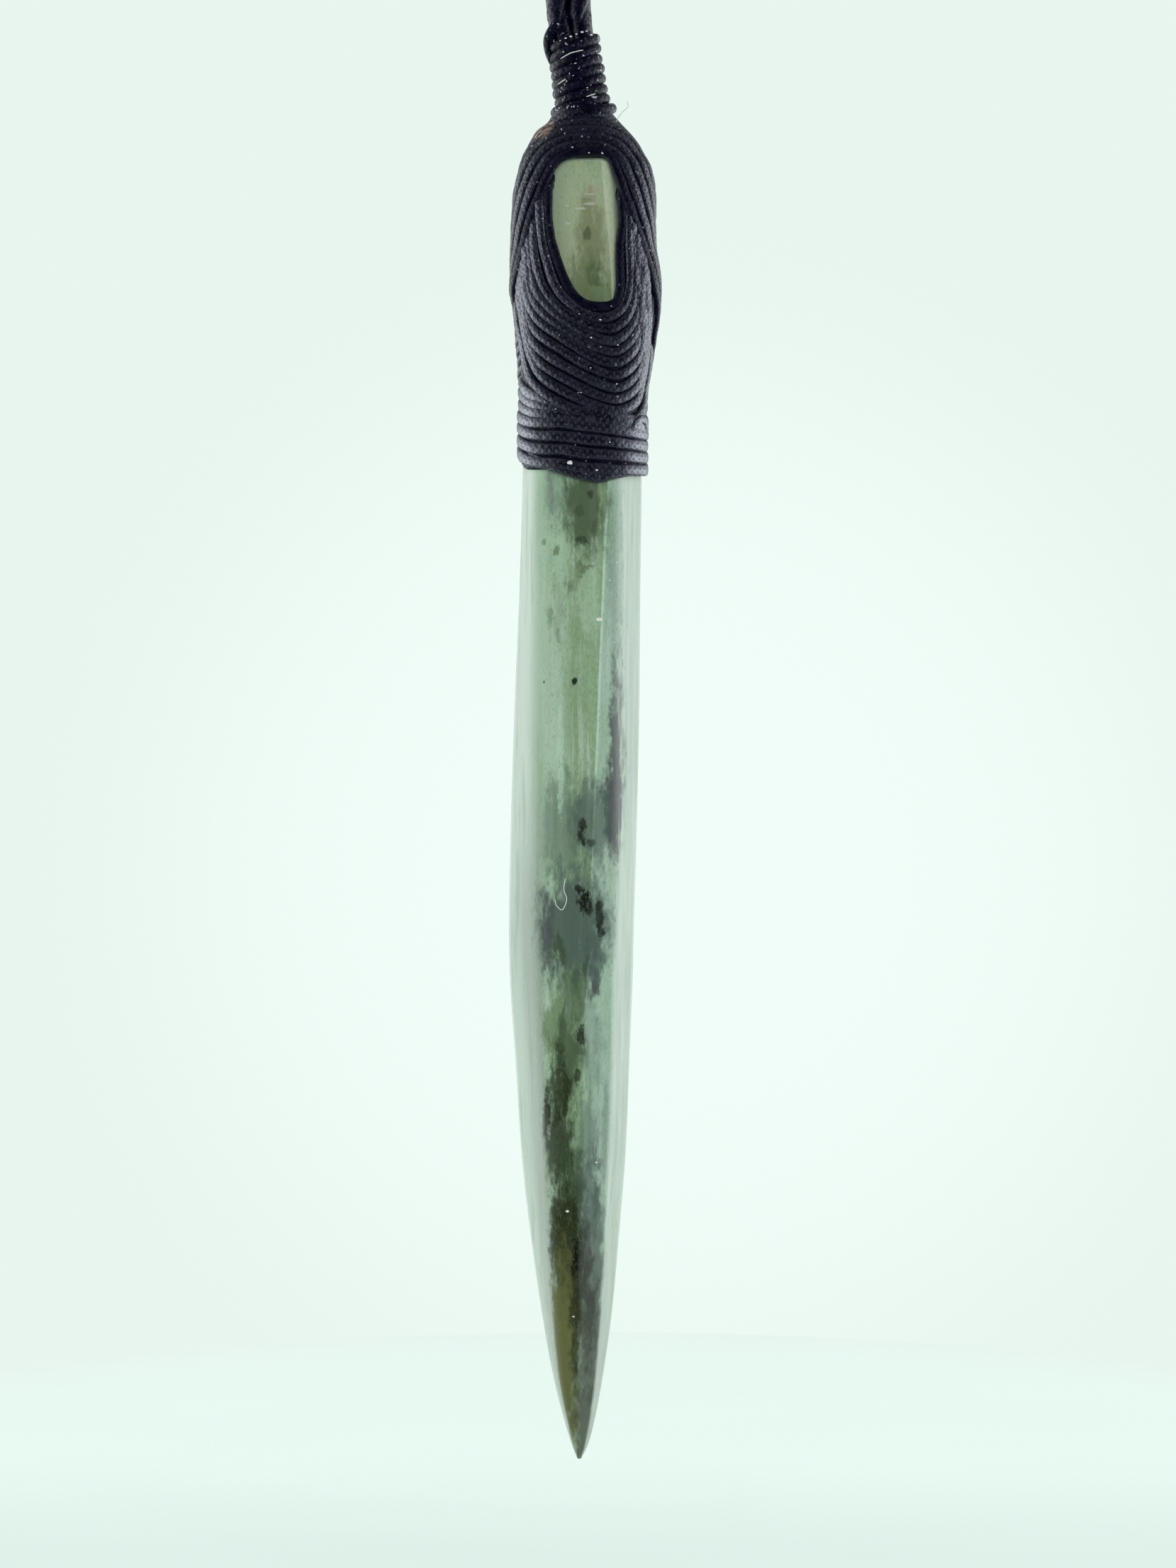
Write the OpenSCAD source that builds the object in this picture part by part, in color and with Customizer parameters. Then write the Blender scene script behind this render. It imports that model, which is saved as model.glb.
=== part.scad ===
// Greenstone adze pendant, bound in waxed cord and hung from a neck loop.
// +Z is up and -Y is the front. All heights in the tables are measured up from
// the tip of the stone; the origin is on the inside of the top of the neck loop.

/* [Stone] */
// Thickness of the blade where it is thickest
blade_thick = 6.4; // [6:0.1:6.6]
// Width of the narrow flat ground along each edge of the blade
edge_flat = 0.9; // [0.5:0.1:1.2]
// Depth of the left bevel line as a share of the half thickness
left_bevel_depth = 0.72; // [0.6:0.02:0.76]
// Depth of the left rib as a share of the half thickness
left_rib_depth = 0.9; // [0.86:0.01:0.92]
// Depth of the ridge as a share of the half thickness
ridge_depth = 0.95; // [0.93:0.01:0.96]
// Depth of the right bevel line as a share of the half thickness
right_bevel_depth = 0.83; // [0.78:0.01:0.86]
// Depth of the two bevel lines on the back as a share of the half thickness
back_bevel_depth = 0.78; // [0.6:0.02:0.8]

/* [Binding] */
// Clearance between a cord wall and what it is wound on
fit_gap = 0.08; // [0.06:0.01:0.1]
// Clearance between two neighbouring cord walls
seam_gap = 0.1; // [0.08:0.01:0.15]
// How square the wound sections are: 2 is an ellipse, more is squarer
squareness = 2.7; // [2.6:0.1:2.8]

/* [Collar] */
// Number of turns in the collar
collar_turns = 6; // [4:1:7]
// Height of the whole collar
collar_l = 5.5; // [5:0.1:5.8]
// Height of the collar's lower edge above the tip of the stone
collar_h = 87.4; // [87:0.1:87.8]
// How far the collar dips at the front
collar_dip = 1.2; // [0:0.1:1.4]
// How far the collar drops from the middle to its right end
collar_slope = 0.6; // [0:0.1:0.8]
// Depth of the groove between two turns
groove_depth = 0.16; // [0.05:0.01:0.2]

/* [Neck whipping] */
// Number of turns round the neck cord's ends
whip_turns = 7; // [5:1:8]
// Length of the whipping
whip_l = 6.8; // [6:0.1:7]
// Outside diameter of the whipping
whip_d = 4.8; // [4.6:0.1:5.2]
// Diameter of the bore that holds the two cord ends
whip_bore_d = 3.4; // [3.36:0.02:3.5]
// Lean of the whipping to the left, in degrees
whip_lean = 7.6; // [7.4:0.1:7.8]

/* [Neck cord] */
// Diameter of the plaited neck cord
neck_cord_d = 2.04; // [1.8:0.02:2.06]
// Diameter of each cord end where the whipping squeezes it
cord_end_d = 1.54; // [1.4:0.02:1.56]
// Number of sides of the neck cord's section
cord_sides = 8; // [6:1:8]

/* [Hidden] */

stone_colour = "darkseagreen";
cord_colour = "#1c1c24";

// The blade, a row for each section from the poll down to the cutting edge.
// Columns: height, then the place across of the left edge, left bevel, left rib,
// ridge, right bevel and right edge, then the share of the full thickness
blade_rows = [
    [114.7, -2.7, -2.0, -0.8, 2.0, 2.9, 3.7, 0.62],
    [114.1, -3.5, -2.2, -0.9, 2.1, 3.0, 4.4, 0.78],
    [112.2, -4.1, -2.3, -0.9, 2.2, 3.1, 5.0, 0.88],
    [107.3, -4.4, -2.4, -0.9, 2.7, 3.4, 5.4, 0.94],
    [101.7, -4.6, -2.8, -0.9, 3.0, 3.6, 5.6, 0.97],
    [93.6, -4.7, -3.4, -0.9, 2.9, 3.7, 5.6, 0.99],
    [86.1, -4.8, -3.8, -0.9, 2.8, 3.7, 5.7, 1.00],
    [78.6, -5.0, -3.8, -1.0, 2.4, 3.7, 5.6, 1.00],
    [66.1, -5.5, -3.9, -1.1, 1.9, 3.5, 5.5, 1.00],
    [53.6, -5.9, -3.8, -1.2, 1.4, 3.4, 5.2, 0.98],
    [47.3, -6.0, -3.7, -1.4, 1.2, 3.3, 5.0, 0.97],
    [42.3, -5.9, -3.5, -1.5, 0.9, 3.1, 4.9, 0.94],
    [34.8, -5.4, -3.2, -1.6, 0.6, 3.0, 4.6, 0.89],
    [27.3, -4.9, -2.9, -1.7, 0.5, 2.7, 4.3, 0.81],
    [19.8, -4.1, -2.6, -1.6, 0.3, 2.4, 3.7, 0.69],
    [12.3, -3.0, -2.1, -1.4, 0.2, 2.0, 3.0, 0.50],
    [7.3, -2.1, -1.6, -1.1, 0.2, 1.6, 2.3, 0.35],
    [3.6, -1.2, -0.9, -0.6, 0.2, 1.1, 1.6, 0.23],
    [1.3, -0.5, -0.4, -0.2, 0.2, 0.7, 1.0, 0.15],
    [0, 0.0, 0.05, 0.1, 0.2, 0.35, 0.4, 0.10]
];
// Columns of blade_rows
left_edge = 1;
left_bevel = 2;
left_rib = 3;
ridge = 4;
right_bevel = 5;
right_edge = 6;
thickness = 7;
blade_l = blade_rows[0][0];

// The outside of the binding, a row for each section from the neck down.
// Columns: height, left side, right side, depth in front of and behind the middle
bind_rows = [
    [118.6, -2.0, 3.0, 2.5],
    [117.6, -2.6, 3.8, 2.8],
    [116.7, -3.7, 4.7, 3.2],
    [115.7, -4.3, 5.5, 3.5],
    [114.8, -4.8, 6.0, 3.7],
    [113.6, -5.2, 6.6, 3.9],
    [111.1, -5.7, 7.0, 4.0],
    [107.3, -5.9, 7.0, 4.0],
    [103.3, -6.0, 7.5, 4.1],
    [101.1, -5.7, 7.4, 4.1],
    [98.6, -5.5, 7.0, 4.0],
    [96.1, -5.3, 6.6, 3.9],
    [93.6, -5.3, 6.3, 3.8],
    [86.0, -5.3, 6.3, 3.8]
];
bind_top = bind_rows[0][0];

// Where the hood ends and the sweeps begin, a row for each angle round the
// binding, 0 in front, 90 at the right and 180 behind.
// Columns: angle, lower edge of the hood, upper edge of the sweeps
edge_rows = [
    [-90, 101.3, 101.0],
    [-80, 101.2, 100.9],
    [-70, 101.2, 100.9],
    [-62, 101.3, 101.0],
    [-54, 101.5, 101.2],
    [-47, 101.9, 101.4],
    [-44, 103.8, 102.9],
    [-41, 106.5, 105.6],
    [-37, 109.8, 109.1],
    [-34, 110.6, 110.2],
    [-28, 110.7, 110.3],
    [-22, 110.9, 109.2],
    [-20, 113.0, 108.4],
    [-16, 114.3, 107.0],
    [-12, 114.5, 105.6],
    [-8, 114.5, 103.9],
    [-1, 114.5, 102.4],
    [8, 114.5, 102.1],
    [14, 114.5, 102.2],
    [17, 114.3, 103.2],
    [20, 112.0, 104.7],
    [23, 110.6, 106.3],
    [26, 110.0, 108.2],
    [30, 109.7, 109.2],
    [35, 109.4, 109.0],
    [40, 108.2, 107.7],
    [46, 106.5, 106.0],
    [52, 104.9, 104.4],
    [58, 103.4, 103.0],
    [66, 102.4, 102.1],
    [75, 101.8, 101.5],
    [82, 101.5, 101.2],
    [90, 101.3, 101.0],
    [120, 104.2, 103.9],
    [150, 107.6, 107.3],
    [180, 109.0, 108.7],
    [210, 107.6, 107.3],
    [240, 104.2, 103.9],
    [270, 101.3, 101.0]
];
hood_rows_n = 14;
hollow_rows_n = 6;
sweep_rows_n = 7;
back_step = 12;
// Above this height the hollow in the hood keeps one width
hollow_shoulder_h = 112.2;

// The neck cord's middle line, from its left end in the whipping round the neck
// to its right end. Columns: across, height, diameter share from end to full
cord_route = [
    [-0.3, 119.0, 0],
    [-1.3, 125.8, 0],
    [-1.7, 127, 1],
    [-1.9, 128.6, 1],
    [-2.8, 135, 1],
    [-4.4, 142, 1],
    [-9.6, 160, 1],
    [-21.2, 200, 1],
    [-32.7, 240, 1],
    [-44.3, 280, 1],
    [-53, 310, 1],
    [-57.6, 326.4, 1],
    [-60, 343, 1],
    [-58, 358.5, 1],
    [-52, 373, 1],
    [-42.4, 385.4, 1],
    [-30, 395, 1],
    [-15.5, 401, 1],
    [0, 403, 1],
    [15.5, 401, 1],
    [30, 395, 1],
    [42.4, 385.4, 1],
    [52, 373, 1],
    [58, 358.5, 1],
    [60, 343, 1],
    [57.3, 325.1, 1],
    [52.5, 310, 1],
    [43.2, 280, 1],
    [30.6, 240, 1],
    [18.1, 200, 1],
    [5.7, 160, 1],
    [2.2, 148, 1],
    [0.5, 140, 1],
    [0.2, 134, 1],
    [0.3, 128.6, 1],
    [0.5, 127, 1],
    [0.4, 125.8, 0],
    [1.3, 119.0, 0]
];
cord_ring_pitch = 9;
loop_top_h = max([for (r = cord_route) r[1]]) - neck_cord_d / 2;

// Middle of the whipping's lower end, across and in height
whip_foot = [0.5, 118.75];

// Value in one column of a table whose first column is the height
function at_height(rows, h, column) = lookup(h, [for (r = rows) [r[0], r[column]]]);

// Point at an angle on a rounded section, 0 in front and positive to the right
function round_share(v) = sign(v) * pow(abs(v), 2 / squareness);
function section_point(left, right, depth, angle, h) = [
    (left + right) / 2 + (right - left) / 2 * round_share(sin(angle)),
    -depth * round_share(cos(angle)),
    h
];

// Outside of the binding
function bind_point(angle, h, sunk = 0) = section_point(
    at_height(bind_rows, h, 1) + sunk,
    at_height(bind_rows, h, 2) - sunk,
    at_height(bind_rows, h, 3) - sunk,
    angle, h);

// Inside of a wall wound on the stone, clear of it by fit_gap
function stone_depth(h) = blade_thick / 2 * at_height(blade_rows, h, thickness);
function core_point(angle, h) =
    let (w = min(h, hollow_shoulder_h))
    section_point(
        at_height(blade_rows, w, left_edge) - fit_gap,
        at_height(blade_rows, w, right_edge) + fit_gap,
        stone_depth(w) + fit_gap,
        angle, h);

// Height of the collar's lower edge at an angle
function collar_foot(angle) =
    collar_h - collar_dip * cos(angle) - collar_slope * sin(angle);
function collar_top(angle) = collar_foot(angle) + collar_l;

function hood_edge(angle) = at_height(edge_rows, angle, 1);
function sweep_edge(angle) = at_height(edge_rows, angle, 2);

function mix(a, b, share) = a + (b - a) * share;

// Triangles between two neighbouring rings of n points, a being the first
// point of one and b of the other
function band_faces(a, b, n) = [
    for (i = [0 : n - 1])
        let (j = (i + 1) % n)
        each [[a + i, b + i, a + j], [a + j, b + i, b + j]]
];

// Triangles across one ring of n points, in strips from its first and last point
function cap_faces(first, n) = [
    for (i = [0 : floor(n / 2) - 1])
        let (j = n - 1 - i)
        each concat(
            i + 1 < j ? [[first + i, first + i + 1, first + j]] : [],
            i + 1 < j - 1 ? [[first + i + 1, first + j - 1, first + j]] : []
        )
];
function turned(faces) = [for (f = faces) [f[2], f[1], f[0]]];

// Closed skin over a list of rings with equally many points, each ring clockwise
// seen from the first one. Where the skin isn't joined back to its first ring,
// the two end rings are filled in.
module skin(rings, joined = false) {
    n = len(rings[0]);
    last = len(rings) - 1;
    polyhedron(
        points = [for (ring = rings) each ring],
        faces = concat(
            [for (k = [0 : last - 1]) each band_faces(k * n, (k + 1) * n, n)],
            joined ? band_faces(last * n, 0, n)
                : concat(cap_faces(0, n), turned(cap_faces(last * n, n)))
        ),
        convexity = 10
    );
}

// One section of the blade, clockwise seen from above, from the left edge
function blade_section(r) =
    let (
        half = blade_thick / 2 * r[thickness],
        flat = edge_flat / 2 * r[thickness]
    )
    [
        [r[left_edge], -flat, r[0]],
        [r[left_edge], flat, r[0]],
        [r[left_bevel], half * back_bevel_depth, r[0]],
        [mix(r[left_bevel], r[right_bevel], 0.5), half, r[0]],
        [r[right_bevel], half * back_bevel_depth, r[0]],
        [r[right_edge], flat, r[0]],
        [r[right_edge], -flat, r[0]],
        [r[right_bevel], -half * right_bevel_depth, r[0]],
        [r[ridge], -half * ridge_depth, r[0]],
        [r[left_rib], -half * left_rib_depth, r[0]],
        [r[left_bevel], -half * left_bevel_depth, r[0]]
    ];

module greenstone_blade() {
    color(stone_colour)
        skin([for (r = blade_rows) blade_section(r)]);
}

// Angles round the binding, as close together in front as the window needs them
front_angles = [for (r = edge_rows) if (r[0] <= 90) r[0]];
back_angles = [for (a = [90 : back_step : 270]) a];
// All of them once, clockwise seen from above
all_angles = concat(
    [for (a = [270 : -back_step : 90 + back_step]) a],
    [for (i = [len(front_angles) - 1 : -1 : 1]) front_angles[i]]
);

// The hood's upper face leans as the whipping's foot does
function hood_top(angle) =
    bind_top + (bind_point(angle, bind_top)[0] - whip_foot[0]) * tan(whip_lean);

// The hood hangs over the stone's poll: its rings run down the outside to its
// lower edge and back up the inside to a flat ceiling
module hood_lashing() {
    ceiling_h = blade_l + fit_gap;
    color(cord_colour)
        skin(concat(
            [for (k = [0 : hood_rows_n])
                [for (a = all_angles)
                    bind_point(a, mix(hood_top(a), hood_edge(a), k / hood_rows_n))]],
            [for (k = [0 : hollow_rows_n])
                [for (a = all_angles)
                    core_point(a, mix(hood_edge(a), ceiling_h, k / hollow_rows_n))]]
        ));
}

// Section of a sweep's wall at one angle: down the outside, up the inside
function sweep_section(a) =
    let (
        top = sweep_edge(a),
        foot = collar_top(a) + seam_gap
    )
    concat(
        [for (k = [0 : sweep_rows_n]) bind_point(a, mix(top, foot, k / sweep_rows_n))],
        [for (k = [0 : sweep_rows_n]) core_point(a, mix(foot, top, k / sweep_rows_n))]
    );

// Half a sleeve, its two ends drawn back from the side seams
module sweep(angles, side) {
    color(cord_colour)
        translate([0, side * seam_gap / 2, 0])
            skin([for (a = angles) sweep_section(a)]);
}

module front_sweep() {
    sweep(front_angles, -1);
}

module back_sweep() {
    sweep(back_angles, 1);
}

// Depth of the collar's grooves at a share of its height, 0 on a turn's crest
function groove(share) = groove_depth * (1 + cos(360 * share * collar_turns)) / 2;

module collar_lashing() {
    rows_n = collar_turns * 4;
    color(cord_colour)
        skin(concat(
            [for (k = [0 : rows_n])
                [for (a = all_angles)
                    bind_point(a, collar_top(a) - collar_l * k / rows_n,
                               groove(k / rows_n))]],
            [for (k = [0 : 3])
                [for (a = all_angles)
                    core_point(a, collar_foot(a) + collar_l * k / 3)]]
        ), joined = true);
}

module neck_whipping() {
    turn_r = whip_l / whip_turns / 2;
    color(cord_colour)
        translate([whip_foot[0], 0, whip_foot[1]])
            rotate([0, -whip_lean, 0])
                rotate_extrude($fn = 64)
                    difference() {
                        union() {
                            square([whip_d / 2 - turn_r * 0.6, whip_l]);
                            for (k = [0 : whip_turns - 1])
                                translate([whip_d / 2 - turn_r, turn_r * (2 * k + 1)])
                                    circle(r = turn_r, $fn = 32);
                        }
                        square([whip_bore_d / 2, whip_l]);
                    }
}

// Even steps along the neck cord's route, on a smooth curve through its points
function span(a, b) = norm([b[0] - a[0], b[1] - a[1]]);
function route_lean(i) =
    let (
        last = len(cord_route) - 1,
        a = cord_route[max(i - 1, 0)],
        b = cord_route[i],
        c = cord_route[min(i + 1, last)]
    )
    (c - a) / (span(a, b) + span(b, c));
function curve_point(i, u) =
    let (
        a = cord_route[i],
        b = cord_route[i + 1],
        l = span(a, b)
    )
    a * (1 + 2 * u) * pow(1 - u, 2) + b * (3 - 2 * u) * pow(u, 2)
        + l * route_lean(i) * u * pow(1 - u, 2)
        + l * route_lean(i + 1) * (u - 1) * pow(u, 2);
route_steps = [
    for (i = [0 : len(cord_route) - 2])
        let (n = ceil(span(cord_route[i], cord_route[i + 1]) / cord_ring_pitch))
        each [for (k = [0 : n - 1]) curve_point(i, k / n)],
    cord_route[len(cord_route) - 1]
];

// Ring of the neck cord's section at one step of the route
function cord_ring(i) =
    let (
        last = len(route_steps) - 1,
        p = route_steps[i],
        a = route_steps[max(i - 1, 0)],
        b = route_steps[min(i + 1, last)],
        run = [b[0] - a[0], b[1] - a[1]] / span(a, b),
        r = mix(cord_end_d, neck_cord_d, min(max(p[2], 0), 1)) / 2
    )
    [for (k = [0 : cord_sides - 1])
        let (turn = 360 * k / cord_sides)
        [
            p[0] + r * cos(turn) * run[1],
            r * sin(turn),
            p[1] - r * cos(turn) * run[0]
        ]
    ];

module neck_cord() {
    color(cord_colour)
        skin([for (i = [0 : len(route_steps) - 1]) cord_ring(i)]);
}

// Heights are from the stone's tip, and the whole hangs from the loop's top
module hung() {
    translate([0, 0, -loop_top_h])
        children();
}

hung() greenstone_blade();
hung() hood_lashing();
hung() front_sweep();
hung() back_sweep();
hung() collar_lashing();
hung() neck_whipping();
hung() neck_cord();
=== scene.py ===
import bisect
import math
import bpy
import bmesh
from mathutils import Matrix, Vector, noise


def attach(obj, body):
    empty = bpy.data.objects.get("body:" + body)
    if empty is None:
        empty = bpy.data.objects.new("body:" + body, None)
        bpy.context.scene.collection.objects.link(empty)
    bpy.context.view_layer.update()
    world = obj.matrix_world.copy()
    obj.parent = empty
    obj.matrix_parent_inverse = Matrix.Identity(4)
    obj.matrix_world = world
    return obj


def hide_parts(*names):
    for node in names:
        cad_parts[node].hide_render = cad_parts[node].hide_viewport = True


# Greenstone adze pendant. Lengths in the tables are millimetres, heights are above the stone's tip.
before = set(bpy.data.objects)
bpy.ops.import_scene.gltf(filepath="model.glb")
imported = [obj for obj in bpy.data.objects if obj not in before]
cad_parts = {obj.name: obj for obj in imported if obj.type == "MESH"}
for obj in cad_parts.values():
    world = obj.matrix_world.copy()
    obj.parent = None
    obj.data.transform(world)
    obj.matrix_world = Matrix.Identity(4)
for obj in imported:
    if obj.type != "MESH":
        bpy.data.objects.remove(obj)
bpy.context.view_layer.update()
scene = bpy.context.scene
mm = 0.001
loopTop = 401.98  # height of the loop's inner top
forward, backward = Vector((0, -1, 0)), Vector((0, 1, 0))


# Camera, level with the middle of the picture
cameraSet = {
    "distance": 0.600,
    "aimX": 0.00097,
    "aimHeight": 59.44,
    "pictureHeight": 0.13825,  # what the picture's height spans at the stone
    "sensor": 36.0,
    "nearest": 0.02,
}
camera = bpy.data.objects.new("camera", bpy.data.cameras.new("camera"))
scene.collection.objects.link(camera)
camera.location = (cameraSet["aimX"], -cameraSet["distance"], (cameraSet["aimHeight"] - loopTop) * mm)
camera.rotation_euler = (math.radians(90), 0, 0)
camera.data.sensor_width = cameraSet["sensor"]
camera.data.lens = cameraSet["sensor"] * cameraSet["distance"] / cameraSet["pictureHeight"]
camera.data.clip_start = cameraSet["nearest"]
scene.camera = camera
print("camera ready")


# Curves and tables
def easing(t):  # shares of the start, its slope, the end and its slope
    a, b = 2 * t ** 3 - 3 * t * t + 1, t ** 3 - 2 * t * t + t
    return a, b, 3 * t * t - 2 * t ** 3, t ** 3 - t * t


def smoothTable(rows):  # a smooth reading of a table, by its first column
    rows = sorted(rows)
    keys = [row[0] for row in rows]
    slopes = []
    for column in range(1, len(rows[0])):
        steps = [(b[column] - a[column]) / (b[0] - a[0]) for a, b in zip(rows, rows[1:])]
        slope = [steps[0]]
        for a, b in zip(steps, steps[1:]):
            slope.append(0.0 if a * b <= 0 else 2 * a * b / (a + b))
        slopes.append(slope + [steps[-1]])

    def look(key):
        key = min(max(key, keys[0]), keys[-1])
        i = min(bisect.bisect_right(keys, key) - 1, len(keys) - 2)
        span = keys[i + 1] - keys[i]
        a, b, c, d = easing((key - keys[i]) / span)
        return [rows[i][k + 1] * a + s[i] * span * b + rows[i + 1][k + 1] * c + s[i + 1] * span * d
                for k, s in enumerate(slopes)]

    return look


def smoothStep(low, high, value):
    t = min(max((value - low) / (high - low), 0.0), 1.0)
    return t * t * (3 - 2 * t)


def hump(value, middle, reach):
    return math.exp(-((value - middle) / reach) ** 2)


def squared(value, square):  # 2 keeps a circle, more makes it squarer
    return math.copysign(abs(value) ** (2 / square), value)


def respace(points, step, lay):  # even spacing along the real length
    places = [lay(p) for p in points]
    run = [0.0]
    for p, q in zip(places, places[1:]):
        run.append(run[-1] + (q - p).length)
    count = max(int(round(run[-1] / step)), 2)
    out, i = [], 0
    for j in range(count + 1):
        goal = run[-1] * j / count
        while i < len(run) - 2 and run[i + 1] < goal:
            i += 1
        t = (goal - run[i]) / max(run[i + 1] - run[i], 1e-9)
        out.append(tuple(a + (b - a) * t for a, b in zip(points[i], points[i + 1])))
    return out


def smoothPath(points, step, lay):  # a smooth line through the points
    knots = [0.0]
    for p, q in zip(points, points[1:]):
        knots.append(knots[-1] + max((lay(q) - lay(p)).length, 1e-6))
    last = len(points) - 1
    leans = []
    for i in range(last + 1):
        lo, hi = max(i - 1, 0), min(i + 1, last)
        leans.append([(b - a) / (knots[hi] - knots[lo]) for a, b in zip(points[lo], points[hi])])
    dense = []
    for i in range(last):
        span = knots[i + 1] - knots[i]
        cuts = max(4, int(span / step) + 1)
        for j in range(cuts):
            a, b, c, d = easing(j / cuts)
            dense.append(tuple(p * a + m * span * b + q * c + n * span * d for p, q, m, n in
                               zip(points[i], points[i + 1], leans[i], leans[i + 1])))
    dense.append(tuple(points[last]))
    return respace(dense, step, lay)


def wander(key, along, size, pace=0.5):  # the unevenness of hand work, which each key fixes for good
    return size * noise.noise(Vector((key * 7.31 + 0.37, along * pace, key * 3.17)))


# Mesh making
endTaper = (0.35, 0.75, 0.93, 1.0)  # how the last rings of a strand draw in


class StrandMesh:
    def __init__(self):
        self.points, self.faces, self.marks = [], [], []
        self.strand = 0

    def add(self, path, normals, width, thick, sides=12, square=2.5, start=0.0):
        count, base, turn = len(path), len(self.points), self.strand
        self.strand += 1
        along, alongs = start, []
        for i in range(count):
            if i:
                along += (path[i] - path[i - 1]).length
            alongs.append(along)
            ahead = (path[min(i + 1, count - 1)] - path[max(i - 1, 0)]).normalized()
            out = (normals[i] - ahead * normals[i].dot(ahead)).normalized()
            across = ahead.cross(out)
            taper = endTaper[min(i, count - 1 - i, 3)]
            wide = (width[i] if isinstance(width, list) else width) * taper
            for j in range(sides):
                a = 2 * math.pi * j / sides
                u = squared(math.cos(a), square) * wide / 2
                v = squared(math.sin(a), square) * (thick * taper) / 2
                self.points.append(path[i] + across * u + out * v)
        for i in range(count - 1):
            here, there = base + i * sides, base + (i + 1) * sides
            near, far = alongs[i], alongs[i + 1]
            for j in range(sides):
                k = (j + 1) % sides
                self.faces.append((here + j, there + j, there + k, here + k))
                left, right = turn + j / sides, turn + (j + 1) / sides
                self.marks += [(near, left), (far, left), (far, right), (near, right)]
        for i in (0, count - 1):  # closed at both ends
            hub = len(self.points)
            self.points.append(path[i].copy())
            for j in range(sides):
                a, b = base + i * sides + j, base + i * sides + (j + 1) % sides
                self.faces.append((hub, a, b) if i == 0 else (hub, b, a))
                self.marks += [(alongs[i], turn + share / sides) for share in (j + 0.5, j, j + 1)]

    def build(self, name, material, node=None, slot=None):
        return finishPiece(name, meshFrom(name, self.points, self.faces, self.marks), material, node)


def meshFrom(name, points, faces, marks):  # marks say where each corner lies on its surface
    mesh = bpy.data.meshes.new(name)
    mesh.from_pydata([(x * mm, y * mm, (z - loopTop) * mm) for x, y, z in points], [], faces)
    layer = mesh.uv_layers.new(name="lie")
    layer.data.foreach_set("uv", [v for mark in marks for v in mark])
    return mesh


def finishPiece(name, mesh, material, node=None):
    work = bmesh.new()
    work.from_mesh(mesh)
    bmesh.ops.recalc_face_normals(work, faces=work.faces)
    for face in work.faces:
        face.smooth = True
    work.to_mesh(mesh)
    work.free()
    mesh.materials.append(material)
    piece = bpy.data.objects.new(name, mesh)
    scene.collection.objects.link(piece)
    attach(piece, "root")
    if node:
        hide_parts(node)
    print(name, len(mesh.vertices), "points")
    return piece


# The lashing's outer form: height, left, right, depth
lashing = {
    "rows": [
        (119.8, -1, 2, 1.5), (118.6, -2, 3, 2.5), (117.6, -2.6, 3.8, 2.8), (116.7, -3.7, 4.7, 3.2),
        (115.7, -4.3, 5.5, 3.5), (114.8, -4.8, 6, 3.7), (113.6, -5.2, 6.6, 3.9), (111.1, -5.7, 7, 4),
        (107.3, -5.9, 7, 4), (103.3, -6, 7.5, 4.1), (101.1, -5.7, 7.4, 4.1), (98.6, -5.5, 7, 4),
        (96.1, -5.3, 6.6, 3.9), (93.6, -5.3, 6.3, 3.8), (86, -5.3, 6.3, 3.8)],
    "squareness": 2.7,
    "shareForm": (6.4, 4.0),  # half width and depth on which the shares of the way round are measured
    "shareSteps": 360,
    "cordWidth": 0.88,
    "cordThick": 0.62,
    "cordSquare": 2.8,  # the cord is pressed flat
    "cordMiddle": 0.3,  # how deep the middle of a cord lies
    "ring": 0.32,
    "pathStep": 0.4,
    "fewest": 6,  # a stretch with fewer points is left out
    "slides": 3,  # small steps from one cord to the next
    "slideReach": (0.01, 0.1),
    "normalReach": (0.012, 0.15),
    "uneven": {  # shift of the key, size, pace
        "depth": (0, 0.07, 0.5), "fine": (20, 0.035, 1.9),
        "rise": (50, 0.06, 0.4), "width": (90, 0.12, 0.6)},
    "startShift": 13.7,  # so that no two cords show the same stretch of braid
}
lashingRow = smoothTable(lashing["rows"])


def roundShare(value):
    return squared(value, lashing["squareness"])


def measureQuarter():
    wide, deep = lashing["shareForm"]
    count = lashing["shareSteps"]
    angles = [math.pi / 2 * i / count for i in range(count + 1)]
    places = [(wide * roundShare(math.sin(a)), deep * roundShare(math.cos(a))) for a in angles]
    run = [0.0]
    for p, q in zip(places, places[1:]):
        run.append(run[-1] + math.hypot(q[0] - p[0], q[1] - p[1]))
    return angles, run


# a share of the way round: 0 is the middle of the front, 0.5 the right edge, 1 the middle of the back
quarterAngles, quarterRun = measureQuarter()


def angleAt(share):
    share = (share + 1) % 2 - 1
    s = abs(share)
    goal = (1 - s if s > 0.5 else s) * 2 * quarterRun[-1]
    i = min(max(bisect.bisect_left(quarterRun, goal), 1), lashing["shareSteps"])
    t = (goal - quarterRun[i - 1]) / (quarterRun[i] - quarterRun[i - 1])
    a = quarterAngles[i - 1] + (quarterAngles[i] - quarterAngles[i - 1]) * t
    return math.copysign(math.pi - a if s > 0.5 else a, share)


def onLashing(share, height, sunk=lashing["cordMiddle"]):
    left, right, depth = lashingRow(height)
    a = angleAt(share)
    across = (left + right) / 2 + ((right - left) / 2 - sunk) * roundShare(math.sin(a))
    return Vector((across, -(depth - sunk) * roundShare(math.cos(a)), height))


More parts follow.
